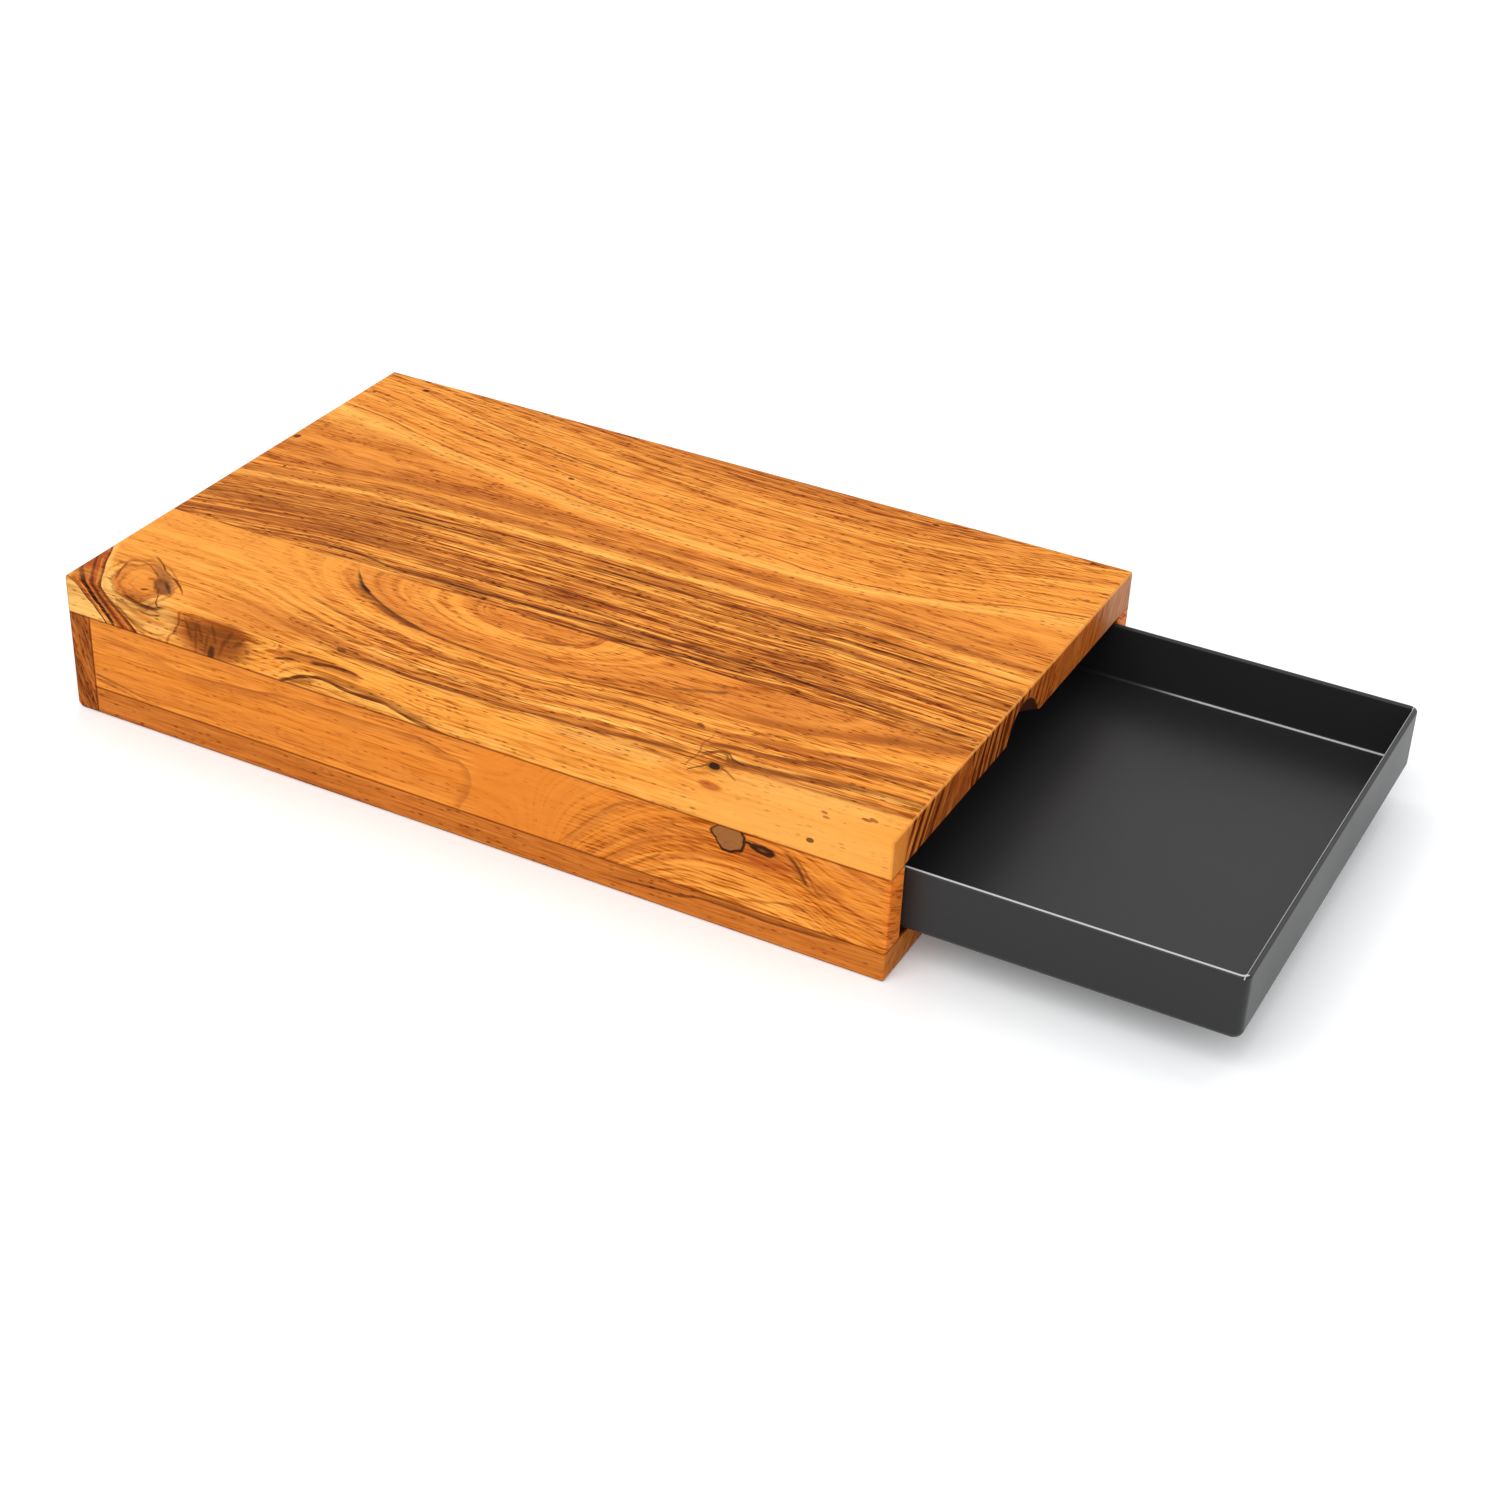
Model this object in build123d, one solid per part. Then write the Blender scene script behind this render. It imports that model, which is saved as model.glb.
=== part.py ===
from build123d import *

import math
import os

# A cutting board on a low wooden housing with a pull-out tray.
# Millimetres, +Z up. X runs along the board and +X points out of the open end,
# where the tray comes out. Y runs across, from the front long side to the rear one.
# The origin is the centre of the face that the board stands on.
# The tray is drawn partly out, which is how it rests here.

# The board as a whole
board_length = 381.0
board_width = 241.3
board_height = 63.5
arris_radius = 1.2
back_foot_radius = 3.0

# The cutting surface, glued up from two staves
top_thickness = 17.0
front_stave_width = 71.5

# The housing under it
bottom_thickness = 13.0
bottom_front_stave_width = 118.0
side_rail_thickness = 12.5
back_rail_thickness = 11.0

# The finger notch, scooped up into the underside of the top at the open end
notch_cutter_radius = 23.0
notch_height = 13.2
notch_depth = 9.2
notch_off_centre = 2.8

# The worn edges round the notch and round the opening that the tray comes out of
mouth_arris = 0.5

# The dowels that pin the rails and the bottom to the back rail
dowel_diameter = 6.0
dowel_length = 30.0
dowel_depth_in_back_rail = 8.0
dowel_point = 0.6
dowel_glue_gap = 0.1
dowel_end_gap = 0.5
rail_dowel_height_shares = (0.27, 0.73)
bottom_dowel_width_shares = (-0.36, -0.14, 0.14, 0.36)

# The tray
tray_wall = 2.4
tray_floor = 2.4
tray_corner_radius = 4.0
tray_bend_radius = 3.0
tray_inner_bend_radius = 1.4
tray_rim_radius = 1.0
tray_side_clearance = 0.8
tray_back_clearance = 1.0
tray_top_clearance = 2.1
tray_sliding_gap = 0.3
tray_drawn_out = 133.0

# The two skids moulded under the tray, which run on the bottom
skid_height = 3.0
skid_width = 8.0
skid_inset = 14.0
skid_end_inset = 20.0

# One overrun serves every cut
overrun = 1.0

# Levels and faces worked out from the sizes above
end_x = board_length / 2
back_inner_x = -end_x + back_rail_thickness
side_y = board_width / 2
rail_inner_y = side_y - side_rail_thickness
under_top_z = board_height - top_thickness
rail_height = under_top_z - bottom_thickness
top_joint_y = -side_y + front_stave_width
bottom_joint_y = -side_y + bottom_front_stave_width
tray_length = board_length - back_rail_thickness - tray_back_clearance
tray_width = 2 * (rail_inner_y - tray_side_clearance)
tray_outer_x = end_x + tray_drawn_out
tray_centre_x = tray_outer_x - tray_length / 2
skid_base_z = bottom_thickness + tray_sliding_gap
tray_base_z = skid_base_z + skid_height
tray_rim_z = under_top_z - tray_top_clearance
tray_height = tray_rim_z - tray_base_z


def timber(low, high):
    """Makes a rectangular piece of wood.

    Args:
        low: its corner with the lowest X, Y and Z.
        high: its opposite corner.

    Returns:
        The solid.
    """
    length, width, height = (b - a for a, b in zip(low, high))
    return Pos(*low) * Box(length, width, height, align=(Align.MIN, Align.MIN, Align.MIN))


def edges_at(solid, axis, place):
    """Lists the edges whose whole length lies at one place along an axis.

    Args:
        solid: the solid to search.
        axis: the axis to measure along.
        place: where the edges lie on it.

    Returns:
        The edges found.
    """
    slack = overrun / 1000
    return solid.edges().filter_by_position(axis, place - slack, place + slack)


def eased_envelope():
    """Makes the block that the wooden parts are trimmed to, with its edges eased.

    Returns:
        The block, full size, with the rounder lower edge at the closed end.
    """
    block = timber((-end_x, -side_y, 0), (end_x, side_y, board_height))
    foot = edges_at(block, Axis.Z, 0).filter_by(Axis.Y).sort_by(Axis.X)[0]
    block = fillet(foot, back_foot_radius)
    rounded_foot = block.faces().filter_by(GeomType.CYLINDER)
    return fillet(block.edges() - rounded_foot.edges(), arris_radius)


def notch_cutter():
    """Makes the round cutter that scoops the finger notch, tilted down into the board.

    Returns:
        The cutter, with its upper line through the notch's crown on the end face.
    """
    tilt = math.degrees(math.atan2(notch_height, notch_depth))
    reach = 2 * (notch_cutter_radius + notch_height)
    barrel = Pos(0, 0, -notch_cutter_radius) * Rot(0, 90, 0) * Cylinder(notch_cutter_radius, reach)
    crown_z = under_top_z + notch_height
    return Pos(end_x, notch_off_centre, crown_z) * Rot(0, -tilt, 0) * barrel


def opening_cutter():
    """Makes the flared block that eases the edges round the tray's opening.

    Returns:
        The cutter, widening outwards from just inside the end face.
    """
    middle_z = bottom_thickness + rail_height / 2
    start = Plane((end_x - mouth_arris, 0, middle_z), x_dir=(0, 1, 0), z_dir=(1, 0, 0))
    opening = start * Rectangle(2 * rail_inner_y, rail_height)
    return extrude(opening, mouth_arris + overrun, taper=-45)


def dowel_row(places, radius, start_x, finish_x):
    """Makes round pegs or their holes, lying along X.

    Args:
        places: the Y and Z of each axis.
        radius: their radius.
        start_x: where they begin.
        finish_x: where they end.

    Returns:
        One solid for each place.
    """
    length = finish_x - start_x
    lying = Rot(0, 90, 0) * Cylinder(radius, length)
    return [Pos((start_x + finish_x) / 2, y, z) * lying for y, z in places]


def dowels(places):
    """Makes the dowels at some places.

    Args:
        places: the Y and Z of each dowel's axis.

    Returns:
        The dowels, with their ends pointed.
    """
    start_x = back_inner_x - dowel_depth_in_back_rail
    pegs = dowel_row(places, dowel_diameter / 2, start_x, start_x + dowel_length)
    return [chamfer(peg.edges().filter_by(GeomType.CIRCLE), dowel_point) for peg in pegs]


def dowel_holes(places):
    """Makes the holes that the dowels at some places sit in.

    Args:
        places: the Y and Z of each dowel's axis.

    Returns:
        The holes, a glue gap wider and longer than the dowels.
    """
    start_x = back_inner_x - dowel_depth_in_back_rail - dowel_end_gap
    finish_x = start_x + dowel_length + 2 * dowel_end_gap
    return dowel_row(places, dowel_diameter / 2 + dowel_glue_gap, start_x, finish_x)


rail_axis_y = side_y - side_rail_thickness / 2
rail_dowel_places = [
    (side * rail_axis_y, bottom_thickness + share * rail_height)
    for side in (-1, 1)
    for share in rail_dowel_height_shares
]
bottom_dowel_places = [
    (share * board_width, bottom_thickness / 2) for share in bottom_dowel_width_shares
]


def top_staves(envelope):
    """Makes the two staves of the cutting surface.

    Args:
        envelope: the eased block they are trimmed to.

    Returns:
        The stave nodes by name. The rear one holds the finger notch.
    """
    front = timber((-end_x, -side_y, under_top_z), (end_x, top_joint_y, board_height))
    rear = timber((-end_x, top_joint_y, under_top_z), (end_x, side_y, board_height))
    rear = (rear & envelope) - notch_cutter()
    rear = chamfer(rear.edges().filter_by(GeomType.ELLIPSE), mouth_arris)
    opening = opening_cutter()
    return {
        "top_front_stave": (front & envelope) - opening,
        "top_rear_stave": rear - opening,
    }


def side_rails(envelope):
    """Makes the front and the rear rail, which stand on the bottom under the long sides.

    Args:
        envelope: the eased block they are trimmed to.

    Returns:
        The rail nodes by name.
    """
    front = timber((back_inner_x, -side_y, bottom_thickness), (end_x, -rail_inner_y, under_top_z))
    rear = timber((back_inner_x, rail_inner_y, bottom_thickness), (end_x, side_y, under_top_z))
    cuts = [*dowel_holes(rail_dowel_places), opening_cutter()]
    return {"front_rail": (front & envelope) - cuts, "rear_rail": (rear & envelope) - cuts}


def back_rail(envelope):
    """Makes the rail that closes the housing, from the floor to the cutting surface.

    Args:
        envelope: the eased block it is trimmed to.

    Returns:
        The rail node by name.
    """
    rail = timber((-end_x, -side_y, 0), (back_inner_x, side_y, under_top_z))
    holes = dowel_holes(rail_dowel_places + bottom_dowel_places)
    return {"back_rail": (rail & envelope) - holes}


def bottom_staves(envelope):
    """Makes the two staves of the bottom, which the tray runs on.

    Args:
        envelope: the eased block they are trimmed to.

    Returns:
        The stave nodes by name.
    """
    front = timber((back_inner_x, -side_y, 0), (end_x, bottom_joint_y, bottom_thickness))
    rear = timber((back_inner_x, bottom_joint_y, 0), (end_x, side_y, bottom_thickness))
    cuts = [*dowel_holes(bottom_dowel_places), opening_cutter()]
    return {
        "bottom_front_stave": (front & envelope) - cuts,
        "bottom_rear_stave": (rear & envelope) - cuts,
    }


def tray():
    """Makes the tray: a thin-walled box with a rounded rim and two skids under it.

    Returns:
        The tray node by name.
    """
    plan = RectangleRounded(tray_length, tray_width, tray_corner_radius)
    outside = Pos(tray_centre_x, 0, tray_base_z) * extrude(plan, tray_height)
    outside = fillet(edges_at(outside, Axis.Z, tray_base_z), tray_bend_radius)

    inner_length = tray_length - 2 * tray_wall
    inner_width = tray_width - 2 * tray_wall
    inner_plan = RectangleRounded(inner_length, inner_width, tray_corner_radius - tray_wall)
    floor_z = tray_base_z + tray_floor
    hollow = Pos(tray_centre_x, 0, floor_z) * extrude(inner_plan, tray_rim_z - floor_z + overrun)
    hollow = fillet(edges_at(hollow, Axis.Z, floor_z), tray_inner_bend_radius)
    shell = outside - hollow
    shell = fillet(edges_at(shell, Axis.Z, tray_rim_z), tray_rim_radius)

    skid_plan = SlotOverall(tray_length - 2 * skid_end_inset, skid_width)
    skid_y = tray_width / 2 - skid_inset - skid_width / 2
    skid = extrude(skid_plan, skid_height + tray_floor / 2)
    for side in (-1, 1):
        shell += Pos(tray_centre_x, side * skid_y, skid_base_z) * skid
    return {"tray": shell}


def build():
    """Builds every node and writes each to its own STEP file."""
    envelope = eased_envelope()
    nodes = {
        **top_staves(envelope),
        **side_rails(envelope),
        **back_rail(envelope),
        **bottom_staves(envelope),
        "rail_dowels": Compound(children=dowels(rail_dowel_places)),
        "bottom_dowels": Compound(children=dowels(bottom_dowel_places)),
        **tray(),
    }
    os.makedirs("parts", exist_ok=True)
    for name, shape in nodes.items():
        export_step(shape, f"parts/{name}.step")


build()
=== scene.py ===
"""Dresses a cutting board and the tray that slides out of it, and lights them in a plain studio.

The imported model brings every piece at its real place. This script gives each timber its own
figure, the tray its satin black, and adds the floor, the lamps and the camera.
"""

import logging
import math
from dataclasses import dataclass
from enum import Enum

import bmesh
import bpy
from mathutils import Matrix, Vector

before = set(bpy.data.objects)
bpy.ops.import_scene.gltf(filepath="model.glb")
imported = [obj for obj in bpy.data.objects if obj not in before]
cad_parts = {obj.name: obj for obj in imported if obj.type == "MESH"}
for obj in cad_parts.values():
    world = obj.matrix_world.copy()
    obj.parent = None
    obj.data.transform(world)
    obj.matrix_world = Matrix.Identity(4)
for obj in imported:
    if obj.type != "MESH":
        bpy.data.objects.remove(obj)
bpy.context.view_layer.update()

log = logging.getLogger("board")

Point = tuple[float, float]
Triple = tuple[float, float, float]

METRES_PER_MM = 0.001

# The board's own sizes, in millimetres
HALF_LENGTH = 190.5
HALF_WIDTH = 120.65
HEIGHT = 63.5
UNDER_TOP = 46.5
BOTTOM_TOP = 13.0
BACK_INNER = -179.5
TOP_JOINT = -49.15

# How far inside a face or a corner a change of look begins, and how far in it is full
END_BAND = (1.0, 0.3)
FACE_BAND = (0.7, 0.2)
# The next band places the painted highlight on the arrises of the open end
ARRIS_HIGHLIGHT_BAND = (0.95, 0.75)
# The next three bands place the painted shade at the closed end's corners and along the foot
CORNER_BAND = (1.15, 0.85)
EASED_SIDE = (1.75, 1.05)
EASED_END = (1.7, 1.0)

# How high the painted shade at the foot reaches, and how high it is full
FOOT_SHADE_BAND = (1.3, 0.5)

# How far each texture is moved from the one before, in grains
SEED_STEPS = (7.3, 3.1, 5.7)

# A stroke's least half-width, and the shortest way over which it may fade
HALF_HAIRLINE = 0.3
SHORTEST_FADE = 0.01

# How much stronger strokes are laid on, to make up for their wear
WEAR_GAIN = 1.2

# How much of a line's wobble a spot takes
SPOT_WOBBLE = 0.3

# What is left of the red, green and blue light where a multiplier is full
DEEPER = (0.5, 0.33, 0.13)
PALER = (1.16, 1.36, 1.6)
# DARKER also paints the shade at the foot and at the closed end's corners
DARKER = (0.28, 0.15, 0.07)


class Tone(Enum):
    """The colours of the object and of the light and shade painted on it, as they look on a screen, from 0
    to 255.
    """

    CREAM = (253, 192, 104)
    STRAW = (250, 172, 78)
    HONEY = (243, 156, 63)
    AMBER = (233, 142, 54)
    EMBER = (224, 131, 45)
    GINGER = (220, 130, 49)
    TAN = (205, 119, 46)
    RUSSET = (186, 102, 37)
    BRICK = (172, 78, 26)
    CHESTNUT = (150, 80, 28)
    UMBER = (104, 50, 16)
    BARK = (162, 104, 56)
    SOOT = (40, 20, 10)
    BEECH = (214, 178, 126)
    COPPER = (198, 98, 34)
    FLAME = (243, 129, 45)
    NOTCH_SHADE = (98, 54, 41)
    SHEEN_PINK = (222, 164, 118)
    COAL = (36, 36, 37)
    HIGHLIGHT_GREY = (190, 190, 192)
    PAPER = (255, 255, 255)

    @property
    def linear(self) -> tuple[float, float, float, float]:
        """The colour as linear light, with full opacity."""
        shares = [part / 255 for part in self.value]
        light = [s / 12.92 if s <= 0.04045 else ((s + 0.055) / 1.055) ** 2.4 for s in shares]
        return (*light, 1.0)


class Grain(Enum):
    """The largest grains of each kind of variation, in millimetres along, across and down."""

    SWAY = (120, 30, 30)
    FRAY = (18, 0.8, 1.6)
    HAIR = (13, 0.9, 5)
    FIBRE = (55, 1.7, 16)
    BAND = (110, 4.2, 40)
    BROAD = (180, 12, 40)
    WEAR = (40, 15, 15)
    BULGE = (7, 5, 5)
    WOBBLE = (18, 5, 5)
    LONG_LINE = (110, 2.2, 20)
    SHORT_LINE = (40, 1.5, 10)
    PORE = (4.4, 1.3, 3)
    CAST = (0.5, 0.5, 0.5)
    POLISH = (45, 45, 45)


class Axis(Enum):
    """A direction of the row frame, with its name in a Site."""

    X = "x"
    Y = "y"
    Z = "z"


class Output:
    """What a shader node gives out."""

    def __init__(self, graph: "Graph", socket: bpy.types.NodeSocket) -> None:
        """Keeps the output socket and the graph that its node is in."""
        self.graph = graph
        self.socket = socket


class Field(Output):
    """A number that shader nodes work out at every point of a surface."""

    def __add__(self, other: "Field | float") -> "Field":
        """Adds a field or a number."""
        return self.graph.math("ADD", self, other)

    def __sub__(self, other: "Field | float") -> "Field":
        """Takes away a field or a number."""
        return self.graph.math("SUBTRACT", self, other)

    def __rsub__(self, other: float) -> "Field":
        """Takes the field away from a number."""
        return self.graph.math("SUBTRACT", other, self)

    def __mul__(self, other: "Field | float") -> "Field":
        """Multiplies by a field or a number."""
        return self.graph.math("MULTIPLY", self, other)

    def __truediv__(self, other: "Field | float") -> "Field":
        """Divides by a field or a number."""
        return self.graph.math("DIVIDE", self, other)

    def size(self) -> "Field":
        """The number without its sign."""
        return self.graph.math("ABSOLUTE", self)

    def larger(self, other: "Field | float", soft: float = 0.0) -> "Field":
        """The larger of two, with a soft change-over."""
        return self.graph.math("SMOOTH_MAX", self, other, soft)

    def smaller(self, other: "Field | float", soft: float = 0.0) -> "Field":
        """The smaller of two, with a soft change-over."""
        return self.graph.math("SMOOTH_MIN", self, other, soft)

    def length(self, other: "Field") -> "Field":
        """The length of the vector that this and another field make."""
        return self.graph.math("SQRT", self * self + other * other)

    def step(self, start: float, end: float) -> "Field":
        """Rises smoothly from 0 at one value to 1 at another, which may be the lower one."""
        return self.spread(start, end, 0.0, 1.0)

    def near(self, centre: float, reach: float) -> "Field":
        """One at a value, fading to 0 at a distance from it."""
        return (self - centre).size().step(reach, 0.0)

    def nearing(self, limit: float, band: Point) -> "Field":
        """Goes smoothly from 0 at one distance short of a limit to 1 at another."""
        return self.step(limit - band[0], limit - band[1])

    def spread(self, low: float, high: float, start: float, end: float) -> "Field":
        """Eases from one result to another over a range of values, and is level outside it.

        Args:
            low: the value that becomes start.
            high: the value that becomes end.
            start: the result at low.
            end: the result at high.

        Returns:
            The mapped field.
        """
        node = self.graph.add("ShaderNodeMapRange", interpolation_type="SMOOTHSTEP", clamp=False)
        for index, value in enumerate((self, low, high, start, end)):
            self.graph.feed(node.inputs[index], value)
        return Field(self.graph, node.outputs[0])

    def curve(self, points: tuple[Point, ...]) -> "Field":
        """Follows a smooth curve through given points.

        Args:
            points: pairs of this field's value and the result there, in rising order.

        Returns:
            The curve's value, level beyond its ends.
        """
        start, run = points[0][0], points[-1][0] - points[0][0]
        low = min(value for _, value in points)
        rise = max(value for _, value in points) - low or 1.0
        first, *middle, last = [((at - start) / run, (value - low) / rise) for at, value in points]
        node = self.graph.add("ShaderNodeFloatCurve")
        node.mapping.extend = "HORIZONTAL"
        line = node.mapping.curves[0]
        line.points[0].location = first
        line.points[1].location = last
        for spot in middle:
            line.points.new(*spot)
        node.mapping.update()
        self.graph.feed(node.inputs[1], (self - start) / run)
        return Field(self.graph, node.outputs[0]) * rise + low


class Shade(Output):
    """A colour that shader nodes work out at every point of a surface."""

    def _mixed(self, other: object, share: Field, blend: str) -> "Shade":
        """Mixes the colour with another.

        Args:
            other: the other colour.
            share: how much of it, from 0 to 1.
            blend: Blender's name for the way of mixing.

        Returns:
            The mixed colour.
        """
        node = self.graph.add("ShaderNodeMix", data_type="RGBA", blend_type=blend, clamp_factor=True)
        factor, first, second = node.inputs[0], node.inputs[6], node.inputs[7]
        self.graph.feed(factor, share)
        self.graph.feed(first, self)
        self.graph.feed(second, other)
        return Shade(self.graph, node.outputs[2])

    def toward(self, other: Tone, share: Field) -> "Shade":
        """Goes part of the way to another colour."""
        return self._mixed(other, share, "MIX")

    def multiplied(self, channel_factors: Triple, share: Field) -> "Shade":
        """Multiplies the colour channel by channel, as far as its share says."""
        return self._mixed((*channel_factors, 1.0), share, "MULTIPLY")


@dataclass(frozen=True)
class Site:
    """A point's place in the row frame, in millimetres.

    Attributes:
        x: how far along the board it is, towards the open end.
        y: how far across, towards the rear.
        z: how far above the floor.
    """

    x: Field
    y: Field
    z: Field


class Graph:
    """The shader nodes of one material, built up by plain arithmetic."""

    def __init__(self, name: str) -> None:
        """Makes an empty material with one main shader.

        Args:
            name: the material's name.
        """
        self.material = bpy.data.materials.new(name)
        self.material.use_nodes = True
        self.tree = self.material.node_tree
        self.shader = self.tree.nodes["Principled BSDF"]
        self.seeds = 0

    def add(self, kind: str, **settings: object) -> bpy.types.Node:
        """Adds a node.

        Args:
            kind: Blender's name for the kind of node.
            **settings: properties to set on it.

        Returns:
            The node.
        """
        node = self.tree.nodes.new(kind)
        for name, value in settings.items():
            setattr(node, name, value)
        return node

    def feed(self, socket: bpy.types.NodeSocket, value: object) -> None:
        """Gives an input its value.

        Args:
            socket: the input.
            value: what it gets: a link from an output, a tone, or a plain number.
        """
        if isinstance(value, Output):
            self.tree.links.new(value.socket, socket)
        elif isinstance(value, Tone):
            socket.default_value = value.linear
        else:
            socket.default_value = value

    def math(self, operation: str, *values: "Field | float") -> Field:
        """Adds a Math node.

        Args:
            operation: Blender's name for the sum.
            *values: its inputs in order.

        Returns:
            The result.
        """
        node = self.add("ShaderNodeMath", operation=operation)
        for socket, value in zip(node.inputs, values):
            self.feed(socket, value)
        return Field(self, node.outputs[0])

    def site(self) -> Site:
        """Gives the point's place in the row frame."""
        source = self.add("ShaderNodeTexCoord")
        scale = self.add("ShaderNodeVectorMath", operation="SCALE")
        self.tree.links.new(source.outputs["Object"], scale.inputs[0])
        scale.inputs["Scale"].default_value = 1 / METRES_PER_MM
        split = self.add("ShaderNodeSeparateXYZ")
        self.tree.links.new(scale.outputs[0], split.inputs[0])
        return Site(*(Field(self, output) for output in split.outputs))

    def seen(self) -> Field:
        """One where the eye sees the surface, straight or in a mirror, and 0 for other light."""
        rays = self.add("ShaderNodeLightPath")
        camera = Field(self, rays.outputs["Is Camera Ray"])
        return camera.larger(Field(self, rays.outputs["Is Glossy Ray"]))

    def shades(self, level: Field, stops: tuple[tuple[float, Tone], ...]) -> Shade:
        """Colours a field by a row of tones.

        Args:
            level: the field.
            stops: pairs of its value and the tone there, in rising order.

        Returns:
            The colour.
        """
        start, end = stops[0][0], stops[-1][0]
        node = self.add("ShaderNodeValToRGB")
        ramp = node.color_ramp
        ramp.interpolation = "EASE"
        for index, (at, tone) in enumerate(stops):
            share = (at - start) / (end - start)
            if 0 < index < len(stops) - 1:
                ramp.elements.new(share)
            ramp.elements[index].position = share
            ramp.elements[index].color = tone.linear
        self.feed(node.inputs[0], (level - start) / (end - start))
        return Shade(self, node.outputs[0])

    def bump(self, height: Field, depth: float) -> None:
        """Gives the shader a relief.

        Args:
            height: the relief, from 0 to 1.
            depth: how high a height of 1 stands, in millimetres.
        """
        node = self.add("ShaderNodeBump")
        self.feed(node.inputs["Distance"], depth * METRES_PER_MM)
        self.feed(node.inputs["Height"], height)
        self.tree.links.new(node.outputs[0], self.shader.inputs["Normal"])

    def finish(self, **values: object) -> bpy.types.Material:
        """Sets the main shader's inputs.

        Args:
            **values: each input's name, with underscores for spaces, and its value.

        Returns:
            The material.
        """
        for name, value in values.items():
            self.feed(self.shader.inputs[name.replace("_", " ")], value)
        return self.material


class Place(Output):
    """Where a point lies in a timber, in millimetres: along its grain, across it and down."""

    def __init__(self, along: Field, across: Field, down: Field) -> None:
        """Joins three fields to one place.

        Args:
            along: the place along the grain.
            across: the place across it on the main face.
            down: the depth under that face.
        """
        node = along.graph.add("ShaderNodeCombineXYZ")
        super().__init__(along.graph, node.outputs[0])
        self.along, self.across, self.down = along, across, down
        for socket, value in zip(node.inputs, (along, across, down)):
            self.graph.feed(socket, value)

    def _textured(self, kind: str, grain: Grain) -> bpy.types.Node:
        """Adds a texture with grains of a size, moved somewhere new each time.

        Args:
            kind: Blender's name for the texture's node.
            grain: the size of its grains.

        Returns:
            The texture's node.
        """
        texture = self.graph.add(kind)
        self.graph.seeds += 1
        stretch = self.graph.add("ShaderNodeVectorMath", operation="MULTIPLY_ADD")
        self.graph.feed(stretch.inputs[0], self)
        stretch.inputs[1].default_value = [1 / part for part in grain.value]
        stretch.inputs[2].default_value = [self.graph.seeds * step for step in SEED_STEPS]
        self.graph.tree.links.new(stretch.outputs[0], texture.inputs["Vector"])
        texture.inputs["Scale"].default_value = 1.0
        return texture

    def cloud(self, grain: Grain, detail: float = 1.0, rough: float = 0.5) -> Field:
        """Random variation with no hard edges.

        Args:
            grain: the size of its largest grains.
            detail: how many finer layers it has.
            rough: how strong they are.

        Returns:
            A field from 0 to 1 whose mean is 0.5.
        """
        node = self._textured("ShaderNodeTexNoise", grain)
        node.inputs["Detail"].default_value = detail
        node.inputs["Roughness"].default_value = rough
        return Field(self.graph, node.outputs[0])

    def drift(self, grain: Grain, swing: float) -> Field:
        """Random variation from minus the swing to the swing."""
        return self.cloud(grain) * (2 * swing) - swing

    def dashes(self, grain: Grain, share: float) -> Field:
        """Short separate marks, such as pores.

        Args:
            grain: the size of the cell that each mark lies in.
            share: the share of the cells that have one.

        Returns:
            A field of 1 in the marks and 0 elsewhere.
        """
        node = self._textured("ShaderNodeTexVoronoi", grain)
        split = self.graph.add("ShaderNodeSeparateColor")
        self.graph.tree.links.new(node.outputs["Color"], split.inputs[0])
        chosen = Field(self.graph, split.outputs[0]).step(share, share * 0.7)
        return Field(self.graph, node.outputs["Distance"]).step(0.42, 0.16) * chosen

    def from_centre(self, centre: Point, reach: Point, turn: float) -> Field:
        """The distance from a point, measured in the half-lengths of an ellipse round it.

        Plain arithmetic keeps each ellipse to one number while the renderer works out the rest.

        Args:
            centre: the ellipse's centre, along and across.
            reach: its half-lengths.
            turn: how far it is turned, in degrees.

        Returns:
            A field that is 0 at the centre and 1 on the ellipse.
        """
        cosine, sine = math.cos(math.radians(turn)), math.sin(math.radians(turn))
        along, across = self.along - centre[0], self.across - centre[1]
        first = along * (cosine / reach[0]) + across * (sine / reach[0])
        second = across * (cosine / reach[1]) - along * (sine / reach[1])
        return first.length(second)


@dataclass(frozen=True)
class Figure:
    """What a mark in the wood is drawn with.

    Attributes:
        place: where the point is in the timber.
        wobble: how far lines are off their path here, in millimetres.
        bulge: how far round marks are out of their shape here, in millimetres.
        wear: how whole lines are here, from 0 to 1.
    """

    place: Place
    wobble: Field
    bulge: Field
    wear: Field


@dataclass(frozen=True)
class Stroke:
    """A line of the wood's figure that follows a path of its own. Lengths are in millimetres.

    Attributes:
        path: points along and across the grain.
        tone: its colour.
        share: how strongly it covers the wood.
        below: how far it fades out on the side of lower values.
        above: how far it fades out on the other side.
        fade: how far it fades out at each end.
        core: how wide it is at full strength, from the path towards lower values.
        upright: whether it runs across the grain, so that the path's points are across and along.
    """

    path: tuple[Point, ...]
    tone: Tone
    share: float
    below: float = 0.5
    above: float = 0.5
    fade: float = 8.0
    core: float = 0.0
    upright: bool = False

    def lay(self, shade: Shade, figure: Figure) -> Shade:
        """Draws the line.

        Args:
            shade: the colour so far.
            figure: what it is drawn with.

        Returns:
            The colour with the line on it.
        """
        along, across = figure.place.along, figure.place.across
        run, side = (across, along) if self.upright else (along, across)
        off = side - run.curve(self.path) + figure.wobble
        start, end = self.path[0][0], self.path[-1][0]
        ends = run.step(start - SHORTEST_FADE, start + self.fade)
        ends = ends * run.step(end + SHORTEST_FADE, end - self.fade)
        low, high = -self.core - HALF_HAIRLINE, HALF_HAIRLINE
        cover = off.step(low - self.below, low) * off.step(high + self.above, high) * ends * figure.wear
        return shade.toward(self.tone, cover * min(self.share * WEAR_GAIN, 1.0))


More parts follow.
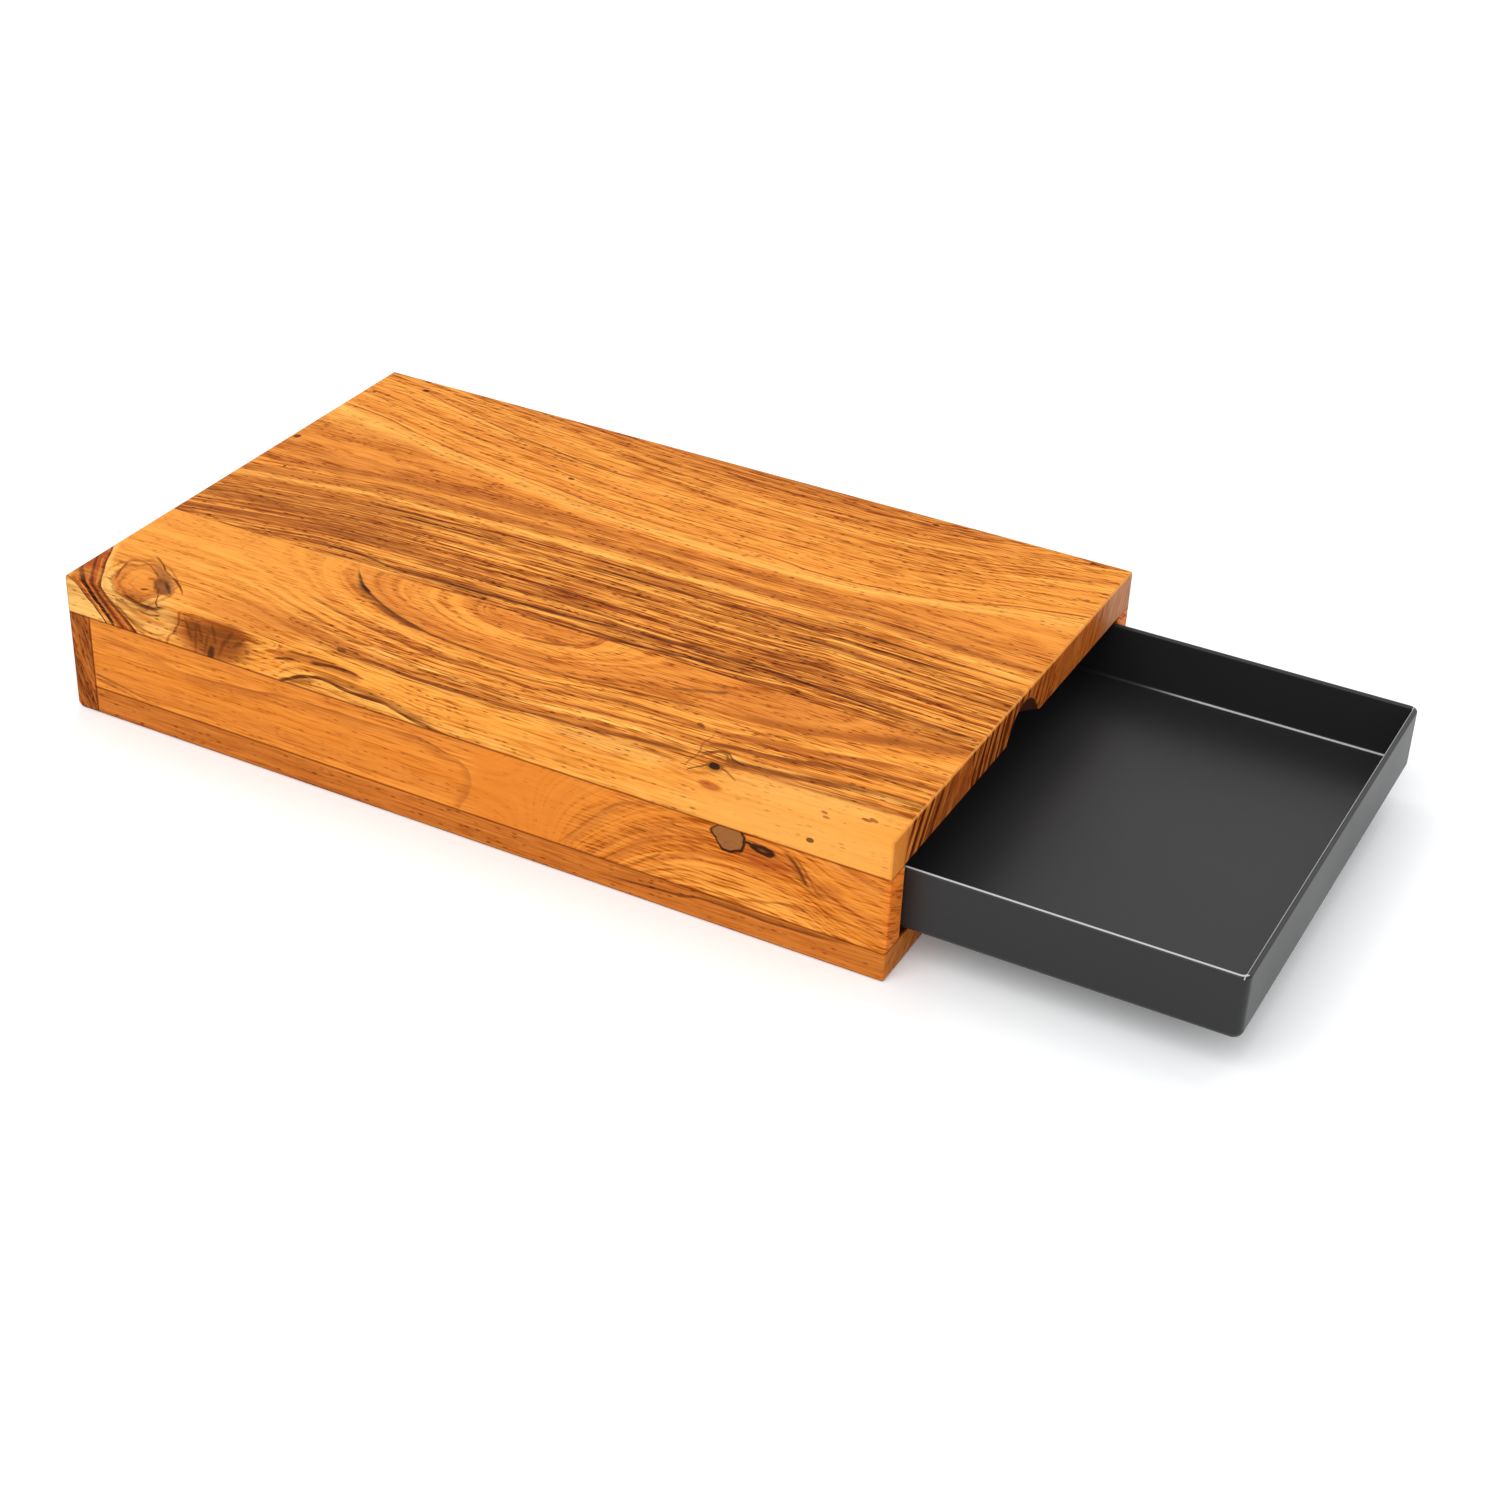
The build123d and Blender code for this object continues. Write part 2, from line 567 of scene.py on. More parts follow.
@dataclass(frozen=True)
class Spot:
    """A round or long mark: a knot's heart, its rings, or a smudge. Lengths are in millimetres.

    Attributes:
        centre: its place along and across the grain.
        reach: its half-lengths.
        tone: its colour.
        share: how strongly it covers the wood.
        turn: how far it is turned, in degrees.
        hole: the share of the half-lengths inside which it fades out again, for a ring.
        soft: the share of the half-lengths over which its edge fades.
    """

    centre: Point
    reach: Point
    tone: Tone
    share: float
    turn: float = 0.0
    hole: float = 0.0
    soft: float = 0.5

    def lay(self, shade: Shade, figure: Figure) -> Shade:
        """Draws the mark.

        Args:
            shade: the colour so far.
            figure: what it is drawn with.

        Returns:
            The colour with the mark on it.
        """
        distance = figure.place.from_centre(self.centre, self.reach, self.turn)
        distance = distance + (figure.wobble * SPOT_WOBBLE + figure.bulge) * (1 / max(self.reach))
        cover = distance.step(1 + self.soft / 2, 1 - self.soft / 2)
        if self.hole:
            cover = cover * distance.step(self.hole - self.soft / 2, self.hole + self.soft / 2)
        return shade.toward(self.tone, cover * self.share)


@dataclass(frozen=True)
class Seam:
    """The dark hairline where two timbers are glued. Lengths are in millimetres.

    Attributes:
        axis: the axis that it lies square to.
        level: its place on that axis.
        share: how dark it is.
        width: how wide it is on this timber.
    """

    axis: Axis
    level: float
    share: float = 0.9
    width: float = 0.8


Marks = tuple[Stroke | Spot, ...]


@dataclass(frozen=True)
class Timber:
    """The finish of one oiled hardwood timber. Lengths are in millimetres.

    Attributes:
        name: the material's name.
        tones: pairs of a growth level and the tone there.
        contrast: pairs of a growth level and how strong the grain is there.
        streaks: pairs of a growth level and how dark the hairlines are there.
        features: the strokes and spots of its figure, the lowest first.
        seams: its glue lines.
        pores: how dark the pores are.
        gloss: how strong the reflections are.
        plain_tone: the tone where the wood is plain.
        end_at: how far the end grain is from the middle, along the grain.
        end_tone: the tone that the end grain goes towards.
        ends: how far it goes there.
        rungs: how dark the growth rings are on the end grain.
        foot: how dark the painted shade is on the eased edges at the foot and at the closed end's corners.
        face: where the outer long face is on the Y axis.
    """

    name: str
    tones: tuple[tuple[float, Tone], ...]
    contrast: tuple[Point, ...]
    streaks: tuple[Point, ...]
    features: Marks = ()
    seams: tuple[Seam, ...] = ()
    pores: float = 0.7
    gloss: float = 0.03
    plain_tone: Tone = Tone.STRAW
    end_at: float = HALF_LENGTH
    end_tone: Tone = Tone.COPPER
    ends: float = 0.9
    rungs: float = 0.0
    foot: float = 0.7
    face: float = -HALF_WIDTH

    def place(self, site: Site) -> Place:
        """Turns the row frame into places in the timber, whose grain runs along X."""
        return Place(site.x, site.z, site.y)

    def growth(self, place: Place) -> Field:
        """The growth level, which is even along each growth line."""
        return place.across

    def plain(self, place: Place, level: Field) -> Field:
        """How much of its figure the wood lacks at a place and growth level, from 0 to 1."""
        return level * 0

    def edged(self, shade: Shade, site: Site) -> Shade:
        """Paints shade on the eased edges at the foot and at the corners of the closed end.

        Args:
            shade: the colour so far.
            site: the point's place in the row frame.

        Returns:
            The colour with its painted edge shade.
        """
        sides = site.y.size().nearing(HALF_WIDTH, EASED_SIDE)
        outside = sides.larger(site.x.size().nearing(HALF_LENGTH, EASED_END))
        corner = (site.y.size() - site.x).nearing(HALF_LENGTH + HALF_WIDTH, CORNER_BAND)
        # Painted shade at the foot and at the closed end's corners
        return shade.multiplied(DARKER, (site.z.step(*FOOT_SHADE_BAND) * outside).larger(corner) * self.foot)

    def material(self) -> bpy.types.Material:
        """Makes the timber's material.

        Returns:
            The material.
        """
        graph = Graph(self.name)
        site = graph.site()
        place = self.place(site)

        # The growth level, which sways and frays
        sway = place.drift(Grain.SWAY, 1.6)
        frays = place.drift(Grain.FRAY, 1.0)
        level = self.growth(Place(place.along, place.across + sway, place.down))
        grain = Place(place.along, level, place.down)

        # Where the end grain is, and how strongly the grain shows
        end = place.along.size().nearing(self.end_at, END_BAND)
        hairs = place.cloud(Grain.HAIR, 1, 0.6)
        fibres = grain.cloud(Grain.FIBRE, 1, 0.6)
        bands = grain.cloud(Grain.BAND, 2)
        broad = grain.cloud(Grain.BROAD, 1)
        plain = self.plain(place, level)
        contrast = level.curve(self.contrast) * (plain * -0.7 + 1)
        depth = ((hairs - 0.5) * 5.0 + (fibres - 0.5) * 3.6) * contrast
        depth = depth + ((bands - 0.5) * 1.4 + (broad - 0.5) * 0.9) * contrast.smaller(0.9)

        # The tones, the end grain and the marks
        streaks = level.curve(self.streaks) * (plain * -0.8 + 1)
        shade = graph.shades(level + frays, self.tones).toward(self.plain_tone, plain * 0.85)
        shade = shade.toward(self.end_tone, end * (streaks * -0.35 + self.ends))
        shade = shade.multiplied(DEEPER, depth).multiplied(PALER, 0 - depth)
        wear = hairs.spread(0.35, 0.5, 0.8, 1.0) * place.cloud(Grain.WEAR).spread(0.36, 0.54, 0.6, 1.0)
        bulge = place.drift(Grain.BULGE, 3)
        wobble = place.drift(Grain.WOBBLE, 0.7) + frays * 0.15
        figure = Figure(place, wobble, bulge, wear)
        for feature in self.features:
            shade = feature.lay(shade, figure)

        # The hairlines, the pores and the growth rings on the ends
        long_lines = grain.cloud(Grain.LONG_LINE, 0.5).near(0.5, 0.16) * bands.step(0.28, 0.48)
        short_lines = grain.cloud(Grain.SHORT_LINE).near(0.56, 0.14) * fibres.step(0.4, 0.58)
        lines = long_lines.larger(short_lines) * streaks * (end * -0.5 + 1)
        shade = shade.multiplied(DARKER, lines)
        pores = place.dashes(Grain.PORE, 0.5) * fibres.step(0.36, 0.56)
        pores = pores * (streaks * 0.4 + self.pores) * (plain * -0.4 + 1)
        shade = shade.multiplied(DARKER, pores)
        if self.rungs:
            rung = graph.math("PINGPONG", level * 0.33 + bands * 1.2 + 100, 1.0).step(0.45, 0.78)
            shade = shade.multiplied(DARKER, rung * end * (streaks.step(0.05, 0.4) * 0.9 + 0.1) * self.rungs)
        for seam in self.seams:
            off_axis = getattr(site, seam.axis.value)
            shade = shade.multiplied(DARKER, off_axis.near(seam.level, seam.width) * seam.share)
        # The edges: painted shade at the foot and corners, and on the top staves painted highlights, sheen
        # and notch shade
        shade = self.edged(shade, site)

        graph.bump(1 - pores - lines + hairs * 0.3, 0.1)
        return graph.finish(
            Base_Color=shade,
            Roughness=(hairs - 0.5) * 0.3 + pores * 0.2 + 0.45,
            Specular_IOR_Level=self.gloss,
        )


@dataclass(frozen=True)
class TopStave(Timber):
    """A stave of the cutting surface, whose edges catch the light at the open end.

    Attributes:
        pale_corner: where the pale wood at the front of the end face fades out and is full, on Y.
        fold: how far from its long face the turn over the edge is complete, and where it begins.
        slant: how steeply the lines run over the end grain.
    """

    pale_corner: Point = (18 - HALF_WIDTH, 7 - HALF_WIDTH)
    fold: Point = (2, 14)
    slant: float = -0.67

    def edged(self, shade: Shade, site: Site) -> Shade:
        """Lightens the pale wood at the front of the end face, and paints a highlight along the edges round
        the open end.

        Args:
            shade: the colour so far.
            site: the point's place in the row frame.

        Returns:
            The colour with its painted edge highlights.
        """
        shade = super().edged(shade, site)
        pale = site.x.nearing(HALF_LENGTH, FACE_BAND) * site.y.step(*self.pale_corner)
        shade = shade.toward(Tone.HONEY, pale * 0.55)
        # Painted highlight along the top arris and the upright corner arrises of the open end
        upper = (site.x + site.z).nearing(HALF_LENGTH + HEIGHT, ARRIS_HIGHLIGHT_BAND)
        upright = (site.x + site.y.size()).nearing(HALF_LENGTH + HALF_WIDTH, ARRIS_HIGHLIGHT_BAND)
        return shade.toward(Tone.STRAW, upper.larger(upright) * 0.5)


@dataclass(frozen=True)
class KnottyStave(TopStave):
    """The light front stave of the cutting surface: an eye of rings at the joint, and knots.

    Attributes:
        eye_across: where the eye is on the Y axis.
        brow: how far from the eye the rings begin to give way to the arch, and have done so.
    """

    eye_across: float = -50.0
    brow: Point = (66, 73)

    def place(self, site: Site) -> Place:
        """Unfolds the front edge, so that the figure runs over it, and slants the end grain."""
        fold = site.y.spread(self.face + self.fold[0], self.face + self.fold[1], 1.0, self.slant)
        return Place(site.x, site.y + (site.z - HEIGHT) * fold, HEIGHT - site.z)

    def growth(self, place: Place) -> Field:
        """Rings round the eye on the top, and an arch on the front face.

        Args:
            place: where the point is in the timber.

        Returns:
            The level: 0 at the eye, about 70 at the front edge and 90 at the foot of the face.
        """
        depth = self.eye_across - place.across
        narrow = place.along.curve(
            ((-191, 45), (-135, 44), (-112, 40.5), (-94, 34), (-35, 12), (0, 0), (30, 13.5), (50, 21.5),
             (62, 23.8), (90, 25), (115, 26.9), (135, 29.3), (160, 32.6), (191, 34.5))
        )
        rings = narrow.length(depth)
        arch = place.along.curve(
            ((-110, -12), (-95, -9), (-84, -5), (-63, 2), (-45, 1), (-28, 0), (-8, -3), (10, -3), (60, -2),
             (190, 0))
        )
        front = arch - place.across + self.eye_across
        return rings + (front - rings) * depth.step(*self.brow)

    def plain(self, place: Place, level: Field) -> Field:
        """The fields left of the eye and along the right of the front edge are plain.

        Args:
            place: where the point is in the timber.
            level: the growth level there.

        Returns:
            How plain the wood is, from 0 to 1.
        """
        left = place.along.step(-70, -104) * place.across.step(-116, -92)
        right = place.along.step(90, 125) * place.across.step(-104, -109)
        front = place.along.step(0, 40) * place.across.step(-116, -121) * 0.4
        return left.larger(right).larger(front)


@dataclass(frozen=True)
class StreakedStave(TopStave):
    """The wide rear stave of the cutting surface: dense dark streaks in front, bowed plain wood behind.

    Attributes:
        meeting: the level where the streaks meet the plain wood.
        painted_sheen: where the painted pink sheen on the end face begins and is full, on Y.
        notch: the middle of the finger notch on the Y axis.
        notch_sides: how far from its middle the notch's look fades out, and how far it is full.
        notch_depths: how far behind the end face that look begins, and is full.
        notch_tops: how far under the top that look ends, and is still full.
        notch_dark: how far behind the end face the painted shade in the notch begins, and is full.
        notch_rim: how far behind the end face the painted highlight on its rim is, and how wide to each
            side.
        slant: how steeply the lines run over the end grain.
    """

    meeting: float = 34.4
    painted_sheen: Point = (78, 100)
    notch: float = 2.8
    notch_sides: Point = (24, 23)
    notch_depths: Point = (10.5, 9.5)
    notch_tops: Point = (1, 3)
    notch_dark: Point = (0.3, 0.6)
    notch_rim: Point = (0.2, 0.15)
    slant: float = -0.47

    def place(self, site: Site) -> Place:
        """Slants the end grain and unfolds the rear edge."""
        fold = site.y.spread(HALF_WIDTH - self.fold[1], HALF_WIDTH - self.fold[0], self.slant, -1.0)
        return Place(site.x, site.y + (site.z - HEIGHT) * fold, HEIGHT - site.z)

    def growth(self, place: Place) -> Field:
        """Lines that bow to the rear behind the meeting line and arch in front of it.

        Args:
            place: where the point is in the timber.

        Returns:
            The level, which is the place across at the middle of the board.
        """
        behind = place.along.curve(
            ((-191, 40), (-172, 35.5), (-142, 27), (-120, 20.5), (-97, 15.5), (-78, 11.5), (-59, 7.5),
             (-34, 2.5), (0, 0), (60, -1.2), (90, 0), (112, 3.8), (131, 9), (146, 15), (160, 21), (175, 26),
             (191, 31))
        )
        before = place.along.curve(
            ((-191, -25), (-168, -18), (-150, -13.5), (-134, -9.5), (-115, -5.5), (-90, -4), (-60, -2),
             (0, 0), (50, 1.2), (87, 3.5), (125, 2), (156, 0.6), (191, -0.6))
        )
        front = (place.across - before).smaller(self.meeting, 2.0)
        return (place.across - behind).larger(front, 2.0) * 0.8 + place.across * 0.2

    def edged(self, shade: Shade, site: Site) -> Shade:
        """Adds a top stave's edges, a painted pink sheen on the end face, and painted shade inside the
        finger notch within a painted highlight on its rim.

        Args:
            shade: the colour so far.
            site: the point's place in the row frame.

        Returns:
            The colour with its edges and the notch.
        """
        shade = super().edged(shade, site)
        # Painted sheen: the end face goes pink towards the rear corner
        painted_sheen = site.x.nearing(HALF_LENGTH, FACE_BAND) * site.y.step(*self.painted_sheen)
        shade = shade.toward(Tone.SHEEN_PINK, painted_sheen * 0.5)
        notch = (site.y - self.notch).size().step(*self.notch_sides)
        notch = notch * site.x.nearing(HALF_LENGTH, self.notch_depths)
        notch = notch * site.z.step(UNDER_TOP, UNDER_TOP + 0.1) * site.z.nearing(HEIGHT, self.notch_tops)
        # Painted shade inside the finger notch
        shade = shade.toward(Tone.NOTCH_SHADE, notch * site.x.nearing(HALF_LENGTH, self.notch_dark))
        # Painted highlight on the notch's rim
        back, reach = self.notch_rim
        return shade.toward(Tone.STRAW, notch * site.x.near(HALF_LENGTH - back, reach) * 0.4)


@dataclass(frozen=True)
class RailTimber(Timber):
    """A plain orange side rail, whose lines climb over a knot at the right."""

    def place(self, site: Site) -> Place:
        """Takes the outer face as the main one and slants the end grain."""
        down = site.y - self.face
        return Place(site.x, site.z + down * 0.5, down)

    def growth(self, place: Place) -> Field:
        """Lines that run straight at the left and climb over the knot at the right.

        Args:
            place: where the point is in the timber.

        Returns:
            The level, which is the height at the left.
        """
        climb = place.along.curve(
            ((0, -4), (30, 10), (50, 30), (70, 48), (95, 64), (115, 69), (140, 69), (155, 65), (170, 58),
             (191, 52))
        )
        return place.across + (52 - place.across * 2 + climb) * place.along.step(12, 60)

    def plain(self, place: Place, level: Field) -> Field:
        """The wood between the cathedral and the knot is plain."""
        return place.along.step(4, 14) * place.along.step(66, 44)


@dataclass(frozen=True)
class BackTimber(Timber):
    """The back rail, whose grain runs across the board, so that its end grain shows in front."""

    def place(self, site: Site) -> Place:
        """Runs the grain along Y, with steep lines on its ends."""
        return Place(site.y, site.z * 0.35 + site.x, site.z)


@dataclass(frozen=True)
class FloorTimber(Timber):
    """A bottom stave, whose main face is the underside and which shows its edge in front."""

    def place(self, site: Site) -> Place:
        """Unfolds the lower outer edge, so that across is the height on it."""
        return Place(site.x, site.z - (site.y - self.face) * 0.8, site.y)


@dataclass(frozen=True)
class SatinBlack:
    """The tray's satin black moulding, with painted highlights on its rims and its rear bend. Lengths are
    in millimetres.

    Attributes:
        name: the material's name.
        tone: its colour.
        roughness: how dull it is.
        gloss: how strong the reflections are.
        rim: how high its rim is.
        near_wall: where the painted highlight on the front wall's rim begins and is full, on Y.
        near_end: where that highlight ends and is still full, on X.
        inner_end: where the inner edge of the end wall's rim is, on X.
        bend: where the middle of the bend at the foot of the rear wall is, on Y and Z.
        bend_start: where its painted highlight begins and is full, on X.
    """

    name: str = "tray_black"
    tone: Tone = Tone.COAL
    roughness: float = 0.38
    gloss: float = 0.285
    rim: float = 44.4
    near_wall: Point = (-104.2, -104.8)
    near_end: Point = (323.2, 322.2)
    inner_end: float = 321.4
    bend: Point = (104.5, 19.1)
    bend_start: Point = (198, 240)

    def painted_highlight(self, site: Site) -> Field:
        """Tells where highlights are painted on the moulding.

        Args:
            site: the point's place in the row frame.

        Returns:
            A field that is 1 on the front and end walls' rim and in the rear bend.
        """
        near_rim = site.z.nearing(self.rim, (0.1, 0.01)) * site.y.step(*self.near_wall)
        near_rim = near_rim * site.x.step(*self.near_end)
        end_rim = site.z.nearing(self.rim, (1.2, 1.0)) * site.x.near(self.inner_end, 0.4)
        off_bend = (site.y - self.bend[0]).length(site.z - self.bend[1])
        bend = off_bend.step(0.6, 0.2) * site.x.step(*self.bend_start)
        return near_rim.larger(end_rim).larger(bend)

    def material(self) -> bpy.types.Material:
        """Makes the material.

        Returns:
            The material, paler and smoother where its highlights are painted.
        """
        graph = Graph(self.name)
        site = graph.site()
        place = Place(site.x, site.y, site.z)
        grain = place.cloud(Grain.CAST, 2)
        cloud = place.cloud(Grain.POLISH, 2)
        graph.bump(grain, 0.006)
        # Painted highlights: pale grey on the front and end rims and in the rear bend
        painted_highlight = self.painted_highlight(site)
        return graph.finish(
            Base_Color=graph.shades(painted_highlight, ((0.0, self.tone), (1.0, Tone.HIGHLIGHT_GREY))),
            Roughness=(cloud - 0.5) * 0.08 + (grain - 0.5) * 0.06 + self.roughness - painted_highlight * 0.2,
            Specular_IOR_Level=self.gloss,
        )


# The left part of the eye's dark edge
EYE_LEFT = (
    (-93, -49), (-86, -57.5), (-77.5, -65.6), (-68.8, -70.6), (-57.5, -75.6), (-46, -79.4), (-35, -82),
)

# Where the dark stripes of the corner begin
STRIPE_EDGE = (
    (-191, -88), (-187, -95), (-183, -103), (-178, -111), (-173, -119), (-168, -125), (-160, -132),
    (-153, -139),
)

# Where they give way to pale sapwood
SAPWOOD_EDGE = (
    (-191, -119.5), (-186, -121.5), (-181, -126), (-175, -132), (-169, -139),
)

# The dark rim of the front rail's arch
CATHEDRAL = (
    (-110, 35.5), (-97, 37), (-85, 38.5), (-75, 39.5), (-60, 39.9), (-40, 40), (-20, 41), (-12, 40.3),
    (-4, 38.4), (2, 36), (5, 34),
)

# The figure on the upper face of the front stave, and its small knot
FRONT_TOP: Marks = (
    Spot((150, -111), (34, 8), Tone.CREAM, 0.35, 4, soft=1.2),
    Spot((70, -117), (24, 5), Tone.CREAM, 0.3, soft=1.2),
    Stroke(((112, -100), (140, -96), (165, -91.5), (200, -88)), Tone.AMBER, 0.6, 2.5, 2.5, 10),
    Stroke(((40, -99.5), (60, -98.6), (75, -96.5), (88, -96.3), (99, -99.5)),
        Tone.CHESTNUT, 0.6, 1.2, 1.4, 8),
    Spot((92.5, -86.8), (2.4, 1.3), Tone.UMBER, 0.8, -25, soft=0.8),
    *(
        Spot(centre, (1.1, 0.5), Tone.CHESTNUT, 0.8, -15, soft=0.8)
        for centre in ((162.5, -118.8), (169.6, -118.6), (178.3, -111.3), (175.4, -112.6), (160, -115.9))
    ),
    Stroke(EYE_LEFT, Tone.UMBER, 0.75, 3.6, 0.8, 14, core=0.8),
    Stroke((*EYE_LEFT, (-15, -83.8), (4, -84.2), (25, -82), (56, -78.8), (90, -74.5)),
        Tone.UMBER, 0.6, 0.8, 0.4),
    Stroke(((-89.5, -53.5), (-84.5, -59), (-79, -63.8), (-72.5, -68)),
        Tone.SOOT, 0.7, 1.2, 0.5, 4, core=0.6),
    Stroke(((-4, -64.4), (12, -62.6), (20, -58.8), (28, -54)), Tone.CHESTNUT, 0.75, 1.6, 1, 5),
    Stroke(((-30, -52.5), (-25, -60), (-12, -64), (0, -64.6)), Tone.RUSSET, 0.5, 0.4, 0.4),
    Stroke(((-56, -55), (-47, -62.5), (-35, -68), (-22, -71.3), (0, -73.8), (15, -72), (37, -64),
        (50, -58.8), (59, -51)), Tone.RUSSET, 0.55, 0.6, 0.4),
    Stroke(((68, -68), (80, -63.4), (91, -59.2)), Tone.UMBER, 0.85, 1.2, 0.8, 3, core=0.8),
    Stroke(((90, -73.8), (115, -72.5), (135, -69), (150, -65), (170, -59), (200, -52)),
        Tone.RUSSET, 0.8, 1.4, 10, 25),
    Stroke(((140, -65), (160, -59), (175, -55), (205, -49)), Tone.CHESTNUT, 0.6, 2, 5, 25),
    Stroke(((-105, -78), (-87.5, -84.4), (-69, -88), (-44, -92.5), (-25, -95), (0, -93.8), (25, -91.3),
        (56, -88), (98, -86)), Tone.CHESTNUT, 0.55, 0.5, 2, 20),
    Stroke(((99, -89.5), (110, -84.5), (125, -82), (140, -80), (160, -75), (200, -70)),
        Tone.RUSSET, 0.8, 3, 0.8, 4, core=1),
    Stroke(((99, -100), (105, -94.5), (124, -92), (140, -88.5), (160, -84), (200, -79)),
        Tone.CHESTNUT, 0.85, 2.4, 0.7, 4, core=0.8),
    Stroke(((-60, -112), (-37.5, -113.8), (-12.5, -115), (6, -114), (37.5, -112.5), (56, -111.3),
        (75, -108.3), (99, -106)), Tone.CHESTNUT, 0.8, 1, 2.4, 6),
    Stroke(((110, -104), (130, -101.5), (150, -97.5), (170, -94.5), (200, -92)),
        Tone.CHESTNUT, 0.9, 1.8, 2.4, 4, core=1.6),
    Stroke(((-116, 101.5), (-110, 100.2), (-105, 101), (-98, 99.2), (-92, 99.8), (-86, 98.5)),
        Tone.CHESTNUT, 0.5, 0.4, 0.4, 4, upright=True),
    Stroke(((102, -117), (106, -112), (109, -109)), Tone.UMBER, 0.8, 0.7, 0.6, 1),
    Stroke(((112, -109), (117, -111), (123, -115)), Tone.UMBER, 0.7, 0.6, 0.5, 2),
    Stroke(((101, -107), (105, -102.5), (109, -100), (113, -103), (119, -107)),
        Tone.CHESTNUT, 0.8, 0.7, 1.6, 3),
    Stroke(((100, -104.5), (105, -101), (109, -98.5), (114, -101.5), (122, -104)),
        Tone.UMBER, 0.75, 0.8, 0.5, 3),
    Spot((107, -116.5), (5, 1.6), Tone.RUSSET, 0.7, 20, soft=0.9),
    Spot((110.5, -110), (3.2, 3.4), Tone.CHESTNUT, 0.7, 20, soft=0.8),
    Spot((110.5, -110), (1.7, 2.1), Tone.SOOT, 0.95, 20),
    Spot((-57.5, -112), (2.6, 1.4), Tone.UMBER, 0.8, -20),
    Spot((-98, -107), (36, 9), Tone.GINGER, 0.6, 4, soft=1.2),
)

# The large knot on its front left corner
BIG_KNOT: Marks = (
    Spot((-156, -120), (26, 12), Tone.CREAM, 0.65, -28, soft=0.7),
    Spot((-160, -109), (16.3, 11.8), Tone.UMBER, 0.8, -42, soft=0.14),
    Spot((-160, -109), (15.5, 11), Tone.GINGER, 0.95, -42, soft=0.14),
    Spot((-159, -110), (11, 7), Tone.AMBER, 0.7, -42, soft=0.5),
    Spot((-160, -109), (20.5, 15.5), Tone.CHESTNUT, 0.55, -42, 0.92, 0.08),
    Spot((-159.5, -109.5), (12.8, 8.8), Tone.CHESTNUT, 0.6, -42, 0.88, 0.12),
    Spot((-158, -109.5), (9, 5.4), Tone.RUSSET, 0.6, -42, 0.84, 0.16),
    Stroke(((-165, -125), (-158, -131.5), (-150, -135), (-143, -135), (-138, -131)),
        Tone.CHESTNUT, 0.7, fade=4),
    Stroke(((-163, -127), (-156, -133.5), (-149, -137.5), (-141, -137.5)), Tone.CHESTNUT, 0.5, fade=4),
    Spot((-164, -104), (7, 6), Tone.HONEY, 0.6, soft=1),
    Stroke(((-166, -93), (-158, -98.5), (-152, -102), (-145, -107), (-141, -112)),
        Tone.BARK, 0.7, 2.5, 3, 6),
    Stroke(((-171, -87), (-163, -91), (-158, -95.5), (-154, -98), (-148, -101), (-141, -106), (-137, -111)),
        Tone.UMBER, 0.75, fade=5),
    Stroke(((-175.5, -97.5), (-172.5, -95.3), (-169, -94.8), (-163, -97.5), (-156, -102)),
        Tone.UMBER, 0.6, fade=1),
    Stroke(((-113, -170), (-110, -171.3), (-103, -174.3), (-97.5, -175.6)),
        Tone.UMBER, 0.6, fade=2, upright=True),
    Spot((-158, -104.5), (1.8, 1.4), Tone.BRICK, 0.8, soft=1.2),
    Spot((-150, -107.5), (8, 3.4), Tone.UMBER, 0.8, -38, soft=0.5),
    Spot((-149, -108.5), (5, 1.4), Tone.BARK, 0.5, -38, soft=1),
    Spot((-147.5, -107), (5, 0.9), Tone.SOOT, 0.6, -42, soft=0.9),
    Stroke(((-151, -109.5), (-147, -114), (-145.3, -117), (-143.5, -119.8), (-141.5, -121.5)),
        Tone.UMBER, 0.8, fade=1.5),
    Spot((-155, -113), (1.8, 0.8), Tone.UMBER, 0.8, 25),
    Spot((-154, -118.5), (9, 2.6), Tone.RUSSET, 0.6, -6, soft=1),
    Stroke(((-162, -120), (-156, -122), (-150, -123.2), (-145, -123), (-141, -121.6), (-137, -120.6)),
        Tone.UMBER, 0.9, 1.6, 1.2, 5),
    Stroke(((-153, -125.8), (-148, -126.8), (-144, -126.3), (-140, -123.5)), Tone.CHESTNUT, 0.8, fade=3),
    Stroke(((-160, -125.5), (-150, -129), (-142, -129.3), (-136, -125)), Tone.GINGER, 0.8, 1.5, 1.5, 6),
)

